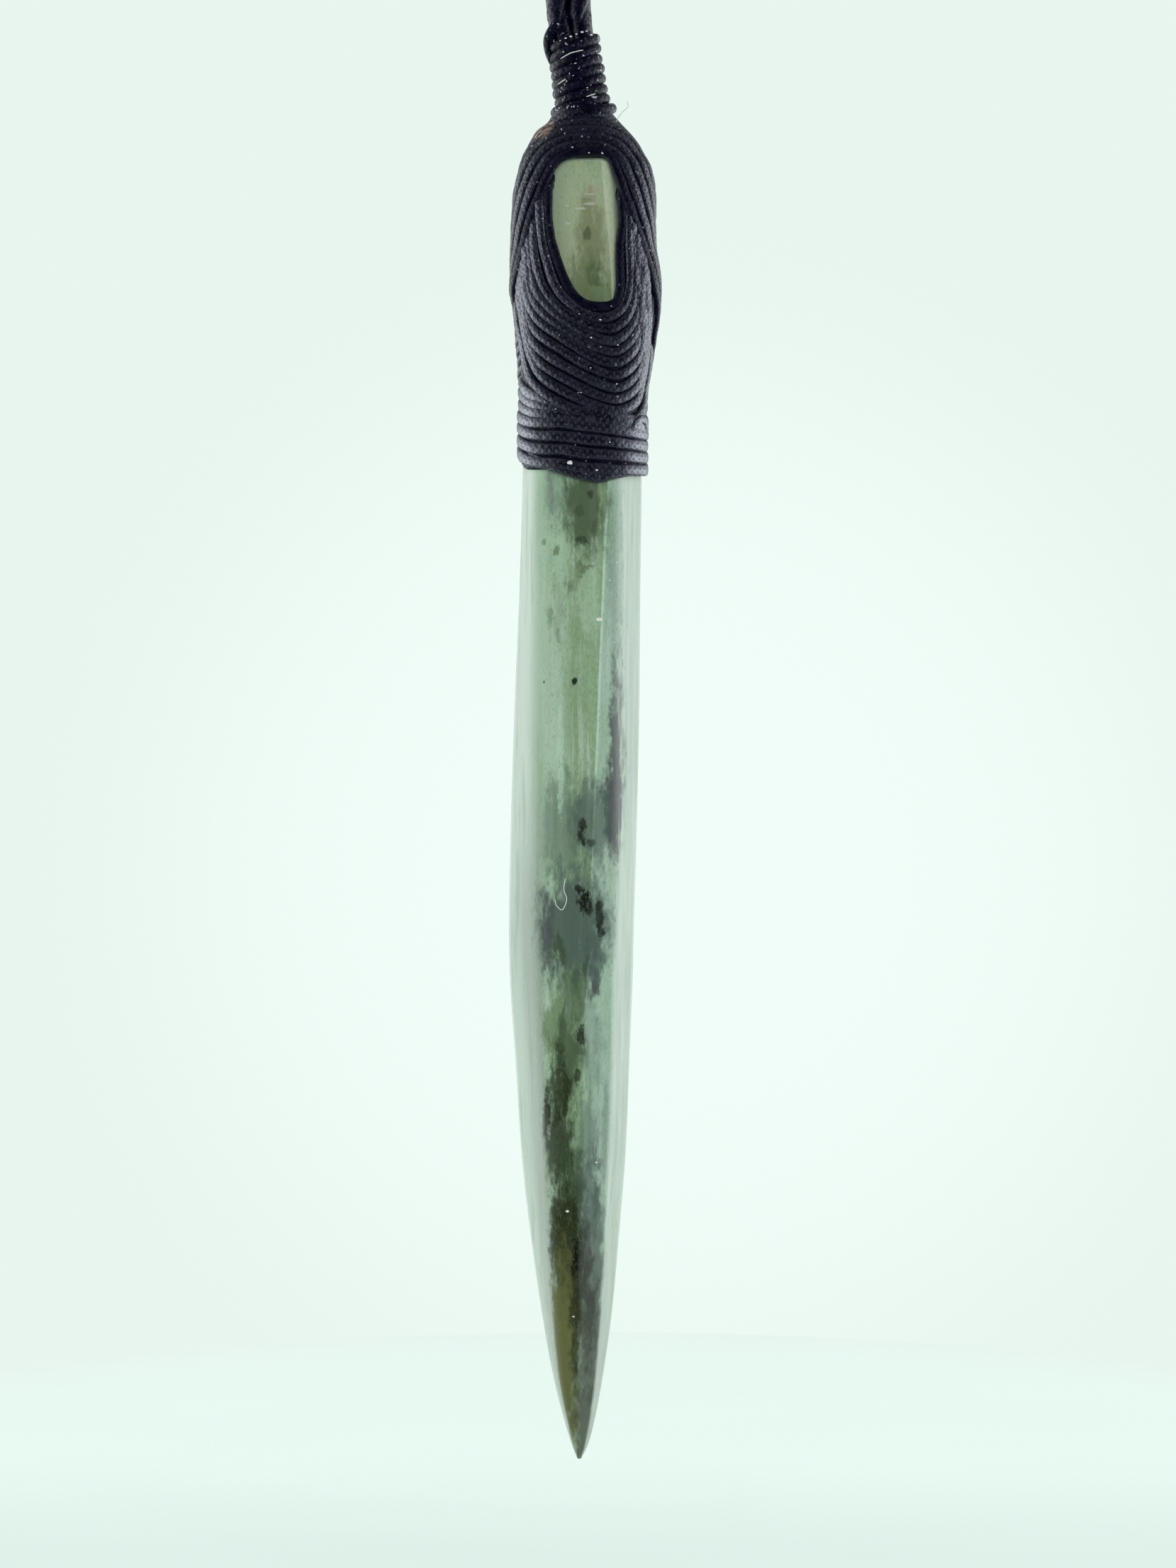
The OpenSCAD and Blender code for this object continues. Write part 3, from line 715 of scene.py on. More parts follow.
stoneLook = {
    "tones": {
        "pale": colour(0.44, 0.535, 0.46),
        "mint": colour(0.34, 0.495, 0.35),
        "sage": colour(0.225, 0.345, 0.20),
        "teal": colour(0.32, 0.46, 0.36),
        "moss": colour(0.11, 0.165, 0.07),
        "darkMoss": colour(0.045, 0.068, 0.035),
        "olive": colour(0.115, 0.125, 0.045),
        "darkOlive": colour(0.017, 0.022, 0.008),
        "slate": colour(0.065, 0.095, 0.085),
        "violet": colour(0.07, 0.075, 0.085),
        "black": colour(0.006, 0.007, 0.006),
        "rose": colour(0.30, 0.24, 0.20),
        # hay: the stone's olive tone in the window, made paler as painted light where the lashing shades it
        "hay": colour(0.345, 0.395, 0.25),
        # paleShadedRight: the pale of the bevels with painted shade, for the right side
        "paleShadedRight": colour(0.352, 0.428, 0.372),
        "shade": colour(0.26, 0.31, 0.26),
        "ash": colour(0.055, 0.06, 0.047),
        "glint": colour(0.44, 0.60, 0.49),
        "warmPale": colour(0.54, 0.62, 0.44),
    },
    # the bevels are pale partly from the stone's own pale rind and partly as painted light from the bright
    # sides; the right side is painted a shade darker
    "facets": [  # along the section: left bevel, face, middle, right face, right bevel, then round the back
        (0, "pale"), (0.85, "pale"), (1.2, "mint"), (1.9, "mint"), (2.15, "sage"), (2.9, "sage"),
        (3.08, "teal"), (3.8, "teal"), (4.3, "paleShadedRight"), (6.8, "paleShadedRight"), (7.3, "mint"), (8, "sage"),
        (8.7, "mint"), (9.4, "pale")],
    "clouds": [  # x, height, half width, half height, tone, strength
        # the first cloud, hay over the window, is the stone's olive tone with painted light against the
        # lashing's shade
        (-0.6, 108, 5, 8, "hay", 0.75), (1.1, 107, 1.3, 4.6, "olive", 0.65),
        (1.2, 103.2, 2.3, 2.6, "moss", 0.75), (0.9, 107.7, 0.35, 0.7, "darkMoss", 0.7),
        (1.6, 104.2, 0.9, 0.6, "darkMoss", 0.5), (1.25, 111.1, 0.35, 0.9, "rose", 0.5),
        (0.35, 109.95, 0.55, 0.13, "pale", 0.55), (1.1, 110.35, 0.5, 0.12, "pale", 0.5),
        (0.8, 110.75, 0.55, 0.1, "moss", 0.4), (1.2, 111.2, 0.45, 0.1, "pale", 0.4),
        # the second cloud on the next line is a painted glint in the window
        (-0.95, 110.2, 0.3, 0.1, "pale", 0.5), (-0.75, 108.65, 0.24, 0.11, "pale", 0.95),
        (-2.4, 70, 1.2, 9, "pale", 0.4), (0.7, 84, 2.1, 4.4, "darkMoss", 0.85),
        (-1.7, 86, 1, 4.5, "slate", 0.35), (0.6, 74.5, 1.2, 4, "moss", 0.25),
        (-0.4, 66, 1.2, 5, "moss", 0.18), (0.3, 77.5, 1, 1.6, "olive", 0.35),
        (1.2, 84.9, 0.3, 0.4, "black", 0.6), (0.4, 80.8, 0.6, 0.45, "black", 0.6),
        (0.9, 78.5, 0.8, 0.5, "darkMoss", 0.7), (-0.6, 77, 0.5, 0.5, "darkMoss", 0.4),
        (-0.25, 68.5, 0.28, 0.4, "black", 0.95), (1.2, 86.2, 0.35, 0.3, "black", 0.5),
        (0.2, 83.4, 0.4, 0.5, "darkMoss", 0.6), (-1.8, 79.9, 0.35, 0.5, "moss", 0.7),
        (-2.9, 80.7, 0.18, 0.3, "moss", 0.8), (-2.4, 74.2, 0.3, 1, "moss", 0.55),
        (-2.9, 68.4, 0.12, 0.14, "black", 0.8), (-1.7, 72.4, 0.2, 0.8, "moss", 0.4),
        (0.5, 76, 0.3, 0.5, "darkMoss", 0.45), (1.5, 81.8, 0.3, 0.7, "darkMoss", 0.5),
        (3.55, 61.5, 0.6, 8.5, "violet", 0.9), (3.2, 57, 1, 4.6, "violet", 0.92),
        (3.3, 79, 0.8, 9, "slate", 0.25), (2.7, 28, 0.6, 6, "slate", 0.3), (1.2, 56, 2, 4, "slate", 0.7),
        (-1.4, 55.5, 2.6, 4.5, "slate", 0.55), (0.45, 54.6, 0.5, 0.5, "black", 0.85),
        (0.5, 55.9, 0.4, 0.5, "black", 0.75), (1.2, 54.3, 0.35, 0.4, "black", 0.6),
        (1, 75.5, 1, 3.2, "mint", 0.6), (-2.5, 84.8, 0.55, 3, "violet", 0.45),
        (-3.5, 83, 0.5, 4.5, "slate", 0.25), (-1.45, 62, 0.32, 5.5, "glint", 0.55),
        (-3.6, 60, 0.55, 6, "violet", 0.2), (-1.6, 74, 0.5, 3.5, "moss", 0.3),
        (0.6, 3.2, 1, 4.5, "ash", 0.55), (-0.4, 46.8, 3.6, 5.4, "slate", 0.9),
        (0.7, 49.1, 0.75, 0.75, "black", 0.95), (0.1, 50.3, 0.35, 0.35, "black", 0.8),
        (1.1, 48.4, 0.35, 0.6, "black", 0.8), (1.95, 47.9, 0.4, 1.5, "black", 0.85),
        (2.1, 46.4, 0.4, 0.5, "black", 0.9), (-2.6, 46.5, 0.6, 3.2, "violet", 0.75),
        (1.5, 44, 0.8, 3, "slate", 0.6), (-0.2, 41, 1.4, 2.4, "darkMoss", 0.6),
        (-1.5, 44.8, 0.7, 1.3, "darkMoss", 0.8), (0.8, 43.9, 0.5, 1, "darkMoss", 0.6),
        (1.4, 41.8, 0.5, 1.4, "violet", 0.6), (-2, 38.5, 1, 3.5, "moss", 0.7),
        (1.2, 36.5, 1.2, 4.5, "slate", 0.3), (-0.7, 35.5, 1.4, 4.2, "darkMoss", 0.85),
        (0.34, 37.4, 0.4, 1, "black", 0.8), (0.06, 33.8, 0.3, 0.8, "black", 0.75),
        (-1.5, 32.6, 1.3, 3.2, "darkOlive", 0.85), (-2.7, 30.2, 0.4, 2.2, "black", 0.85),
        (-1.7, 27.6, 1.4, 4.2, "darkOlive", 0.9), (0.9, 28.5, 1.2, 3.2, "slate", 0.5),
        (-1.6, 20.5, 0.9, 4.5, "darkOlive", 0.85), (-0.4, 24, 1.2, 4, "darkMoss", 0.8),
        (-0.6, 17.5, 1.8, 7.5, "darkOlive", 0.95), (-0.1, 16, 0.38, 4.2, "black", 0.92),
        (1.5, 17, 1.05, 9, "violet", 0.68), (0.8, 13.5, 0.8, 6.5, "ash", 0.7),
        (1.3, 9.5, 0.8, 6, "ash", 0.4), (1, 24, 1, 3.5, "slate", 0.6), (-1.3, 8, 1.5, 10.5, "olive", 0.97),
        (0.9, 5, 1.4, 6, "ash", 0.5), (-0.2, 11, 0.5, 5, "darkOlive", 0.7)],
    "large": {"ragged": -1.6, "span": (0.50, -0.30)},
    "small": {"below": 0.5, "ragged": -2.4, "span": (-0.05, -0.55)},  # small ones keep their places
    "drift": (2.4, 0.0, 7.0),
    "grains": {  # spread in x, y and z, scale, detail, roughness
        "streak": ((1.7, 1.7, 0.09), 1.0, 5.0, 0.62), "hair": ((6.5, 6.5, 0.35), 1.0, 3.0, 0.6),
        "mottle": ((1.7, 1.7, 0.55), 1.0, 6.0, 0.70), "ragged": ((0.9, 0.9, 0.45), 1.0, 6.0, 0.7),
        "speckle": ((1.0, 1.0, 0.6), 2.6, 5.0, 0.75), "grit": ((1.0, 1.0, 0.45), 5.5, 4.0, 0.8)},
    "spans": {  # of a grain, a height or a facet: where it starts, where it is full, the share at both
        "streakPale": (0.50, 0.66, 0.0, 0.60), "streakSage": (0.50, 0.34, 0.0, 0.50),
        "hairPale": (0.50, 0.78, 0.0, 0.25), "gritPale": (0.48, 0.28, 0.0, 0.4),
        "specklePale": (0.46, 0.30, 0.0, 0.35), "gritMoss": (0.50, 0.72, 0.0, 0.5),
        "darkerToTip": (24.0, 6.0, 0.0, 0.5), "top": (114.05, 114.2, 0.0, 0.75),
        "lowBevel": (62.0, 46.0, 0.0, 0.7), "brightFrom": (97.0, 101.0), "softFrom": (44.0, 56.0),
        "ridgeFrom": (46.0, 52.0), "ridgeTo": (90.0, 84.0), "offRidge": (0.15, 0.03, 0.0, 0.9),
        "bevelFrom": (0.30, 0.80), "bevelTo": (1.35, 1.0), "offFace": (0.52, 0.34, 0.0, 0.85)},
    "ridge": 3.0,
    "rightFace": 3.5,
    "wobble": 0.9,
    "edging": (0.35, 0.9),
    "cloudRooms": ((0.9, 1.05, 3.95), (0.8, 1.5, 4.1)),  # clouds start, are full, end: below and above
    "fading": 0.28,  # how quickly the clouds end at the right bevel
    "backFaces": (6.9, 7.1, 8.9, 9.1),
    "rough": (0.13, 0.22),
    "grainBump": (0.08, 0.00003),
    "index": 1.61,
    "glow": 0.12,
    "glowRadius": (0.9, 1.2, 0.8),
    "glowScale": 0.0008,
}


def nephrite():
    s = Shades("polishedNephrite")
    tones, spans, count = stoneLook["tones"], stoneLook["spans"], stone["corners"]
    place = s.millimetres()
    facet, height = s.split(s.lie())[:2]

    def grain(name, output="Fac"):
        spread, scale, detail, rough = stoneLook["grains"][name]
        return s.grain(s.scaled(place, spread), scale, detail, rough, output)

    def span(value, name):
        return s.stretch(value, *spans[name])

    def offFacet(middle):
        return s.sum("ABSOLUTE", s.sum("SUBTRACT", facet, middle))

    streak, mottle, speckle, grit = grain("streak"), grain("mottle"), grain("speckle"), grain("grit")
    hair = span(grain("hair"), "hairPale")
    lean = s.sum("SUBTRACT", streak, 0.5)
    # the clouds have ragged edges: their places are shifted by noise
    shift = s.vectors("SUBTRACT", grain("ragged", "Color"), (0.5, 0.5, 0.5))
    flat = s.vectors("MULTIPLY", place, (1.0, 0.0, 1.0))
    drifted = s.vectors("ADD", flat, s.vectors("MULTIPLY", shift, stoneLook["drift"]))
    above = span(height, "softFrom")  # up there the face runs into the left bevel without a line
    least, more = stoneLook["edging"]
    edging = s.sum("MULTIPLY_ADD", lean, s.weighed((above, more), base=least), facet)
    edging = s.sum("DIVIDE", edging, count)

    def cloudRoom(start, full, end):  # white where clouds may lie: on the front's faces and the back's
        places = (start, full, end, end + stoneLook["fading"]) + stoneLook["backFaces"]
        black, white = colour(0, 0, 0), colour(1, 1, 1)
        shades = (black, white, white, black) * 2
        return s.ramp(edging, [(at / count, shade) for at, shade in zip(places, shades)])

    room = s.blend(above, *(cloudRoom(*places) for places in stoneLook["cloudRooms"]))
    onRidge = span(offFacet(stoneLook["ridge"]), "offRidge")
    inBevel = s.together(span(facet, "bevelFrom"), span(height, "lowBevel"), span(facet, "bevelTo"))
    layers = [
        (span(streak, "streakPale"), "pale"),
        (span(streak, "streakSage"), "sage"),
        (hair, "pale"),
        (s.together(onRidge, span(height, "ridgeFrom"), span(height, "ridgeTo")), "glint"),
        (inBevel, "shade"),
        (span(height, "darkerToTip"), "shade"),  # darker towards the tip
        (s.together(span(grit, "gritPale"), room), "pale"),
        (span(speckle, "specklePale"), "pale")]
    for x, high, wide, tall, name, strength in stoneLook["clouds"]:
        small = min(wide, tall) < stoneLook["small"]["below"]
        look, coords, edge = stoneLook["large"], drifted, mottle
        if small:
            look, coords, edge = stoneLook["small"], flat, speckle
        off = s.vectors("MULTIPLY", s.vectors("SUBTRACT", coords, (x, 0.0, high)), (1 / wide, 0.0, 1 / tall))
        far = s.sum("MULTIPLY_ADD", edge, look["ragged"], s.vectors("LENGTH", off, output="Value"))
        layers.append((s.together(s.stretch(far, *look["span"], 0.0, strength), room), name))
    brightFace = s.together(span(offFacet(stoneLook["rightFace"]), "offFace"), span(height, "brightFrom"))
    layers += [
        (brightFace, "warmPale"),
        # painted light: the top rim is made paler where the lashing shades it
        (span(height, "top"), "pale"),
        (s.together(span(grit, "gritMoss"), room), "moss")]
    wobble = s.sum("DIVIDE", s.sum("MULTIPLY_ADD", lean, stoneLook["wobble"], facet), count)
    tone = s.ramp(wobble, [(at / count, tones[name]) for at, name in stoneLook["facets"]])
    for share, name in layers:
        tone = s.blend(share, tone, tones[name])
    return s.surface(Base_Color=tone, Roughness=s.stretch(mottle, *grainRange, *stoneLook["rough"]),
                     Normal=s.bump(hair, *stoneLook["grainBump"]), IOR=stoneLook["index"],
                     Subsurface_Weight=stoneLook["glow"], Subsurface_Radius=stoneLook["glowRadius"],
                     Subsurface_Scale=stoneLook["glowScale"])


makeStone(nephrite())


# The hood over the stone's shoulders: share round, height
hood = {
    "frontArch": [
        (-0.6, 96.5), (-0.55, 98.8), (-0.49, 101.2), (-0.417, 103.3), (-0.345, 105.8), (-0.297, 108.5),
        (-0.26, 110.4), (-0.227, 111.9), (-0.203, 113.1), (-0.165, 114.2), (-0.105, 114.72),
        (0.029, 114.88), (0.145, 114.76), (0.17, 113.9), (0.19, 112.6), (0.222, 111.2), (0.25, 109.9),
        (0.28, 108.7), (0.315, 107.3), (0.343, 105.6), (0.378, 103.6), (0.43, 101.4), (0.49, 99.4),
        (0.55, 97.4), (0.6, 95.4)],
    "rightLeg": [  # the lowest cord runs on down the right edge to the collar
        (0.236, 110.5), (0.265, 109.3), (0.29, 108.3), (0.318, 107.2), (0.343, 105.6), (0.378, 103.6),
        (0.425, 101.6), (0.462, 99.8), (0.475, 97.5), (0.475, 95.4), (0.46, 93.2)],
    "backArch": [
        (0.4, 96.5), (0.45, 98.8), (0.51, 101.2), (0.585, 103.2), (0.66, 105.3), (0.74, 107.3),
        (0.82, 108.6), (0.91, 109.3), (1, 109.5), (1.09, 109.3), (1.18, 108.6), (1.26, 107.4),
        (1.34, 105.5), (1.415, 103.4), (1.49, 101.3), (1.55, 98.8), (1.6, 96.5)],
    "rightLegFrom": 0.222,
    "frontCords": 11,
    "backCords": 13,
    "topPitch": 0.74,
    "legPitch": 0.93,
    "legFrom": (0.08, 0.25),
    "dive": 0.62,  # how deep the cords go where others cross over them
    "frontDive": (0.50, 0.58),
    "backDive": (0.46, 0.54),
    "neckHeight": 119.3,
    "frontReach": 0.62,
    "backReach": 0.60,
    "deeper": 0.42,
    "keys": (1, 0, 30),  # edge, front and back: a key fixes a cord's unevenness
}
hoodLegs = smoothTable([(s, h) for s, h in hood["frontArch"] if not -0.10 < s < 0.12])


def makeHood():
    outer, inner, edge = StrandMesh(), StrandMesh(), StrandMesh()

    def frontPitch(share):
        top, leg = hood["topPitch"], hood["legPitch"]
        return (top + (leg - top) * smoothStep(*hood["legFrom"], abs(share))) / 2

    def frontSunk(share, height, along):
        return hood["dive"] * smoothStep(*hood["frontDive"], abs(share))

    def backSunk(share, height, along):
        return hood["dive"] * smoothStep(*hood["backDive"], abs(share - 1))

    def inFront(point):
        return point[1] < hood["neckHeight"] and abs(point[0]) < hood["frontReach"]

    def behind(point):
        return point[1] < hood["neckHeight"] and abs(point[0] - 1) < hood["backReach"]

    edgeKey, frontKey, backKey = hood["keys"]
    path = lashingPath(hood["frontArch"])
    arch = [p for p in path if p[0] < hood["rightLegFrom"]]
    addLashing(edge, lashingPath(arch[::4] + hood["rightLeg"]), frontSunk, edgeKey)
    for k in range(1, hood["frontCords"] * 2):
        path = slideAcross(path, frontPitch)
        for part, run in enumerate(clipRuns(path, inFront)):
            addInTurn(outer, inner, run, frontSunk, k, frontKey + part * 0.5, hood["deeper"])
    path = lashingPath(hood["backArch"])
    for k in range(hood["backCords"] * 2):
        for part, run in enumerate(clipRuns(path, behind)):
            addInTurn(outer, inner, run, backSunk, k, backKey + part * 0.5, hood["deeper"])
        path = slideAcross(path, lambda share: hood["legPitch"] / 2)
    edge.build("hood_edge_strand", shadedCord, slot="lashing_cord")
    inner.build("hood_inner_strands", shadedCord, slot="lashing_cord")
    outer.build("hood_strands", hoodCord, "hood_lashing", "lashing_cord")


makeHood()


# The cords that hang in curves under the window
sweep = {
    "guides": [  # number of the cord, then the x and height of places along it, as seen from the front
        (0, (-2.9, 113.2), (-2.8, 111), (-2.75, 108.5), (-2.2, 106.2), (-1.25, 103.7), (-0.35, 102.2),
         (0.9, 101.4), (2.9, 101.3), (3.8, 101.8), (4.02, 105.2), (4.3, 108.8), (4.1, 111.8)),
        (1, (-3.7, 112.6), (-3.5, 110.4), (-3.4, 108.1), (-2.95, 105.8), (-2.2, 103.5), (-1, 101.8),
         (1.2, 100.45), (3.1, 100.4), (4.5, 101.7), (4.85, 105.3), (4.85, 109.3), (4.6, 111.7)),
        (2, (-4.4, 111), (-4.1, 108.9), (-4, 106.8), (-3.6, 104.4), (-2.8, 102.5), (-1.5, 101),
         (1.4, 99.6), (3.4, 99.4), (4.9, 101), (5.3, 104.5), (5.1, 108.7), (4.9, 111)),
        (3, (-4.7, 109.5), (-4.5, 107.3), (-4.3, 105.5), (-4, 103.4), (-3.2, 101.8), (-1.7, 100.4),
         (1.4, 98.7), (3.6, 98.3), (5.2, 100), (5.6, 103.3), (5.5, 107.6), (5.3, 110.1)),
        (5, (-5, 106.1), (-4.8, 103.9), (-4.7, 102.5), (-4.3, 101.2), (-3.5, 100), (-1.9, 98.9),
         (1.4, 96.9), (3.8, 96.4), (5.5, 98), (6, 100.8), (6.1, 104.2), (6, 106.7)),
        (7, (-5.3, 104.5), (-5, 102.3), (-4.8, 100.8), (-4.5, 99.2), (-3.7, 97.8), (-2.1, 96.6),
         (1.4, 94.8), (3.9, 94.2), (5.7, 95.8), (6.2, 98.6), (6.3, 101.7), (6.3, 104.2)),
        (9, (-5.5, 103), (-5.1, 100.8), (-4.8, 98.9), (-4.3, 97.1), (-3.5, 95.4), (-1.7, 94.1),
         (1.4, 92.7), (3.9, 92.2), (5.6, 93.3), (6.2, 95.8), (6.4, 98.9), (6.5, 101.4)),
        (10, (-5.7, 102), (-5.5, 100.2), (-5.1, 98.3), (-4.8, 96.6), (-4.1, 94.7), (-2.2, 93.2),
         (1.4, 91.7), (3.9, 91.2), (5.5, 91.5), (6.2, 93.3), (6.5, 95.8), (6.7, 98.3))],
    "cords": 11,
    "dive": 0.62,
    "under": (-0.9, 0.5),  # heights from the arch's edge between which a cord goes under it
    "open": 0.13,
    "deeper": 0.40,
    "edgeDeeper": 0.15,  # the cord at the window's edge lies deeper
    "sideCords": [  # down each side under the others: share round, from height to height
        (0.345, 104, 91), (0.39, 103, 90.5), (0.435, 102.5, 90.5), (0.485, 101.5, 90.5),
        (0.535, 101, 91.5), (-0.33, 104, 92.5), (-0.375, 104, 92.5), (-0.42, 103.5, 93),
        (-0.465, 103, 93.5), (-0.51, 102.5, 93.5)],
    "sideSunk": 0.36,
    "key": 70,
    "sideKey": 270,
}


def sweepStations(k):
    places = []
    for i in range(1, len(sweep["guides"][0])):
        rows = [(guide[0], shareAt(*guide[i]), guide[i][1]) for guide in sweep["guides"]]
        places.append(tuple(smoothTable(rows)(k)))
    return places


def makeFrontSweep():
    outer, inner, edge = StrandMesh(), StrandMesh(), StrandMesh()

    def sunk(share, height, along):
        if abs(share) < sweep["open"]:
            return 0.0
        return sweep["dive"] * smoothStep(*sweep["under"], height - hoodLegs(share)[0])

    addLashing(edge, lashingPath(sweepStations(0)), sunk, sweep["key"], deeper=sweep["edgeDeeper"])
    for k in range(1, sweep["cords"] * 2 - 1):
        addInTurn(outer, inner, lashingPath(sweepStations(k / 2)), sunk, k, sweep["key"], sweep["deeper"])
    for i, (share, high, low) in enumerate(sweep["sideCords"]):
        path = lashingPath([(share, high), (share, (high + low) / 2), (share, low)])
        addLashing(inner, path, lambda share, height, along: sweep["sideSunk"], sweep["sideKey"] + i)
    edge.build("window_edge_strand", shadedCord, slot="lashing_cord")
    inner.build("sweep_inner_strands", shadedCord, slot="lashing_cord")
    outer.build("front_sweep_strands", lashingCord, "front_sweep", "lashing_cord")


makeFrontSweep()


# The same cords across the back
backSweep = {
    "top": 108.75,
    "pitch": 0.93,
    "cords": 24,
    "from": 0.41,  # how far round they start
    "points": 28,
    "rise": 3.2,
    "bend": 2.2,
    "dive": 0.62,
    "sideDive": 0.5,  # at the sides and at the collar
    "tucked": (1.1, 0.2),  # heights over the collar between which a cord goes under it
    "below": 0.6,
    "collarTop": [
        (0.4, 91.5), (0.5, 91.3), (0.75, 93.2), (1, 94.4), (1.5, 93.95), (1.6, 94.3)],
    "key": 210,
}
backEdge = smoothTable(hood["backArch"])
collarTop = smoothTable(backSweep["collarTop"])


def makeBackSweep():
    outer, inner = StrandMesh(), StrandMesh()
    start, count = backSweep["from"], backSweep["points"]

    def sunk(share, height, along):
        under = smoothStep(*sweep["under"], height - backEdge(share)[0])
        aside = smoothStep(*hood["backDive"], abs(share - 1))
        tucked = smoothStep(*backSweep["tucked"], height - collarTop(share)[0])
        return max(backSweep["dive"] * under, backSweep["sideDive"] * max(aside, tucked))

    def aboveCollar(point):
        return point[1] > collarTop(point[0])[0] - backSweep["below"]

    shares = [start + (2 - 2 * start) * i / count for i in range(count + 1)]
    for k in range(backSweep["cords"] * 2 - 1):
        low = backSweep["top"] - backSweep["pitch"] * k / 2
        path = [(s, low + backSweep["rise"] * (abs(s - 1) / 0.5) ** backSweep["bend"]) for s in shares]
        for part, run in enumerate(clipRuns(lashingPath(path), aboveCollar)):
            addInTurn(outer, inner, run, sunk, k, backSweep["key"] + part * 0.5, sweep["deeper"])
    inner.build("back_inner_strands", shadedCord, slot="lashing_cord")
    outer.build("back_sweep_strands", lashingCord, "back_sweep", "lashing_cord")


makeBackSweep()


# The collar: one cord wound round, height at the left, front, right and back of each turn
collar = {
    "turns": [
        (95.1, 92, 91.3, 94.4), (93.95, 91.75, 91, 93.4), (92.9, 91.5, 90.7, 92.5),
        (91.9, 90.8, 90.2, 91.6), (90.9, 89.6, 89.2, 90.8), (89.8, 88.4, 88.2, 89.9),
        (88.7, 87.1, 87.2, 89)],
    "places": (-0.5, -0.3, -0.12, 0.05, 0.5, 1.0),  # left, two between, front, right, back
    "fan": 1.3,  # a turn that falls more than this from left to front bends more
    "bend": ((0.8, 0.45), (0.35, 0.12)),  # of the two between: under the left, over the front
    "end": [(13.12, 89.35), (13.24, 89.9)],
    "tail": [
        (-0.42, 88.75), (-0.27, 87.85), (-0.133, 87), (0, 86.5), (0.1, 86.34), (0.18, 86.6), (0.3, 87),
        (0.42, 87.5)],
    "tailSunk": (0.08, 0.4, 0.4),
    "tailStart": (0.18, 0.0),
    "tailEnd": (0.85, 1.0),
    "tuck": [
        (4.6, 90.1), (4.95, 90.6), (5.3, 91.15), (5.7, 91.5), (6.05, 91.2), (6.2, 90.6), (6.25, 90.1)],
    "tuckSunk": (0.1, -0.30),
    "tuckPit": (0.435, 90.75),
    "pitReach": (0.02, 0.45),
    "pitDepth": 0.45,
    "top": (91.4, 93.5),
    "topSunk": 0.12,
    "endFrom": (0.984, 0.995),
    "endSunk": 0.5,
    "underFrom": 88.0,
    "underDrop": 0.5,
    "underSunk": 0.36,
    "step": 0.3,
    "width": 1.04,
    "tailWidth": 0.9,
    "tuckWidth": 0.72,
    "tuckThick": 0.5,
    "tuckStep": 0.2,
    "keys": (150, 154, 152, 153),  # turns, tuck, turns beneath, tail
}


def makeCollar():
    outer, inner = StrandMesh(), StrandMesh()
    stations = []
    (drop, dropMore), (lift, liftMore) = collar["bend"]
    for turn, (left, front, right, back) in enumerate(collar["turns"]):
        fan = (left - front) - collar["fan"]
        heights = (left, left - drop - fan * dropMore, front + lift + fan * liftMore, front, right, back)
        stations += [(2 * turn + place, height) for place, height in zip(collar["places"], heights)]
    path = lashingPath(stations + collar["end"], collar["step"])

    def sunk(share, height, along):
        pit = hump(share, collar["tuckPit"][0], collar["pitReach"][0])
        pit *= hump(height, collar["tuckPit"][1], collar["pitReach"][1])
        deep = collar["topSunk"] * smoothStep(*collar["top"], height) + collar["pitDepth"] * pit
        return deep + collar["endSunk"] * smoothStep(*collar["endFrom"], along)

    def tuckSunk(share, height, along):
        return collar["tuckSunk"][1] * math.sin(math.pi * along) + collar["tuckSunk"][0]

    def tailSunk(share, height, along):
        middle, start, end = collar["tailSunk"]
        starts, ends = smoothStep(*collar["tailStart"], along), smoothStep(*collar["tailEnd"], along)
        return middle + start * starts + end * ends

    turnsKey, tuckKey, underKey, tailKey = collar["keys"]
    addLashing(outer, path, sunk, turnsKey, collar["width"])
    tuck = lashingPath([(shareAt(x, height), height) for x, height in collar["tuck"]], collar["tuckStep"])
    addLashing(outer, tuck, tuckSunk, tuckKey, collar["tuckWidth"], collar["tuckThick"])
    under = [(share, height - collar["underDrop"]) for share, height in path if height > collar["underFrom"]]
    addLashing(inner, under, lambda share, height, along: collar["underSunk"], underKey, collar["width"])
    tail = lashingPath(collar["tail"], collar["step"])
    addLashing(outer, tail, tailSunk, tailKey, collar["tailWidth"])
    inner.build("collar_inner_turns", shadedCord, slot="lashing_cord")
    outer.build("collar_turns", collarCord, "collar_lashing", "lashing_cord")


makeCollar()


# The whipping round both ends of the neck cord
whipping = {
    "foot": (0.5, 118.75),
    "lean": 7.6,
    "radius": 1.98,
    "cord": 0.96,
    "pressed": 0.92,
    "square": 2.1,
    "pitch": 0.88,
    "closer": 0.045,
    "turns": 7.0,
    "hidden": 1.3,  # turns that come up from under the hood
    "firstHeight": 0.48,
    "lowTilt": 3.0,
    "highTilt": 15.0,
    "bulge": (0.14, 0.3, 0.22),  # the lowest turns stand out at the right: size, turn, reach
    "lowBulge": (0.56, (-1.1, -0.85), (0.1, -0.45)),
    "unevenOut": (0.10, 0.35),
    "unevenUp": (0.09, 0.3),
    "keys": (200, 201),
    "ring": 0.26,
    "inner": {"height": 0.2, "pitch": 0.93, "radius": 1.42, "wide": 0.95, "thick": 0.8, "sides": 8},
    "loop": [
        (-1.2, -0.5, 126.5), (-1.9, -0.7, 126.15), (-2.5, -0.6, 125.1), (-2.45, -0.5, 124.1),
        (-2.05, -0.3, 123.1), (-1.4, 0.1, 122.4)],
    "loopStep": 0.22,
    "loopWide": 0.95,
    "loopThick": 0.9,
    "start": 3.0,
}


def freePath(points, step):
    return [Vector(p) for p in smoothPath(points, step, Vector)]


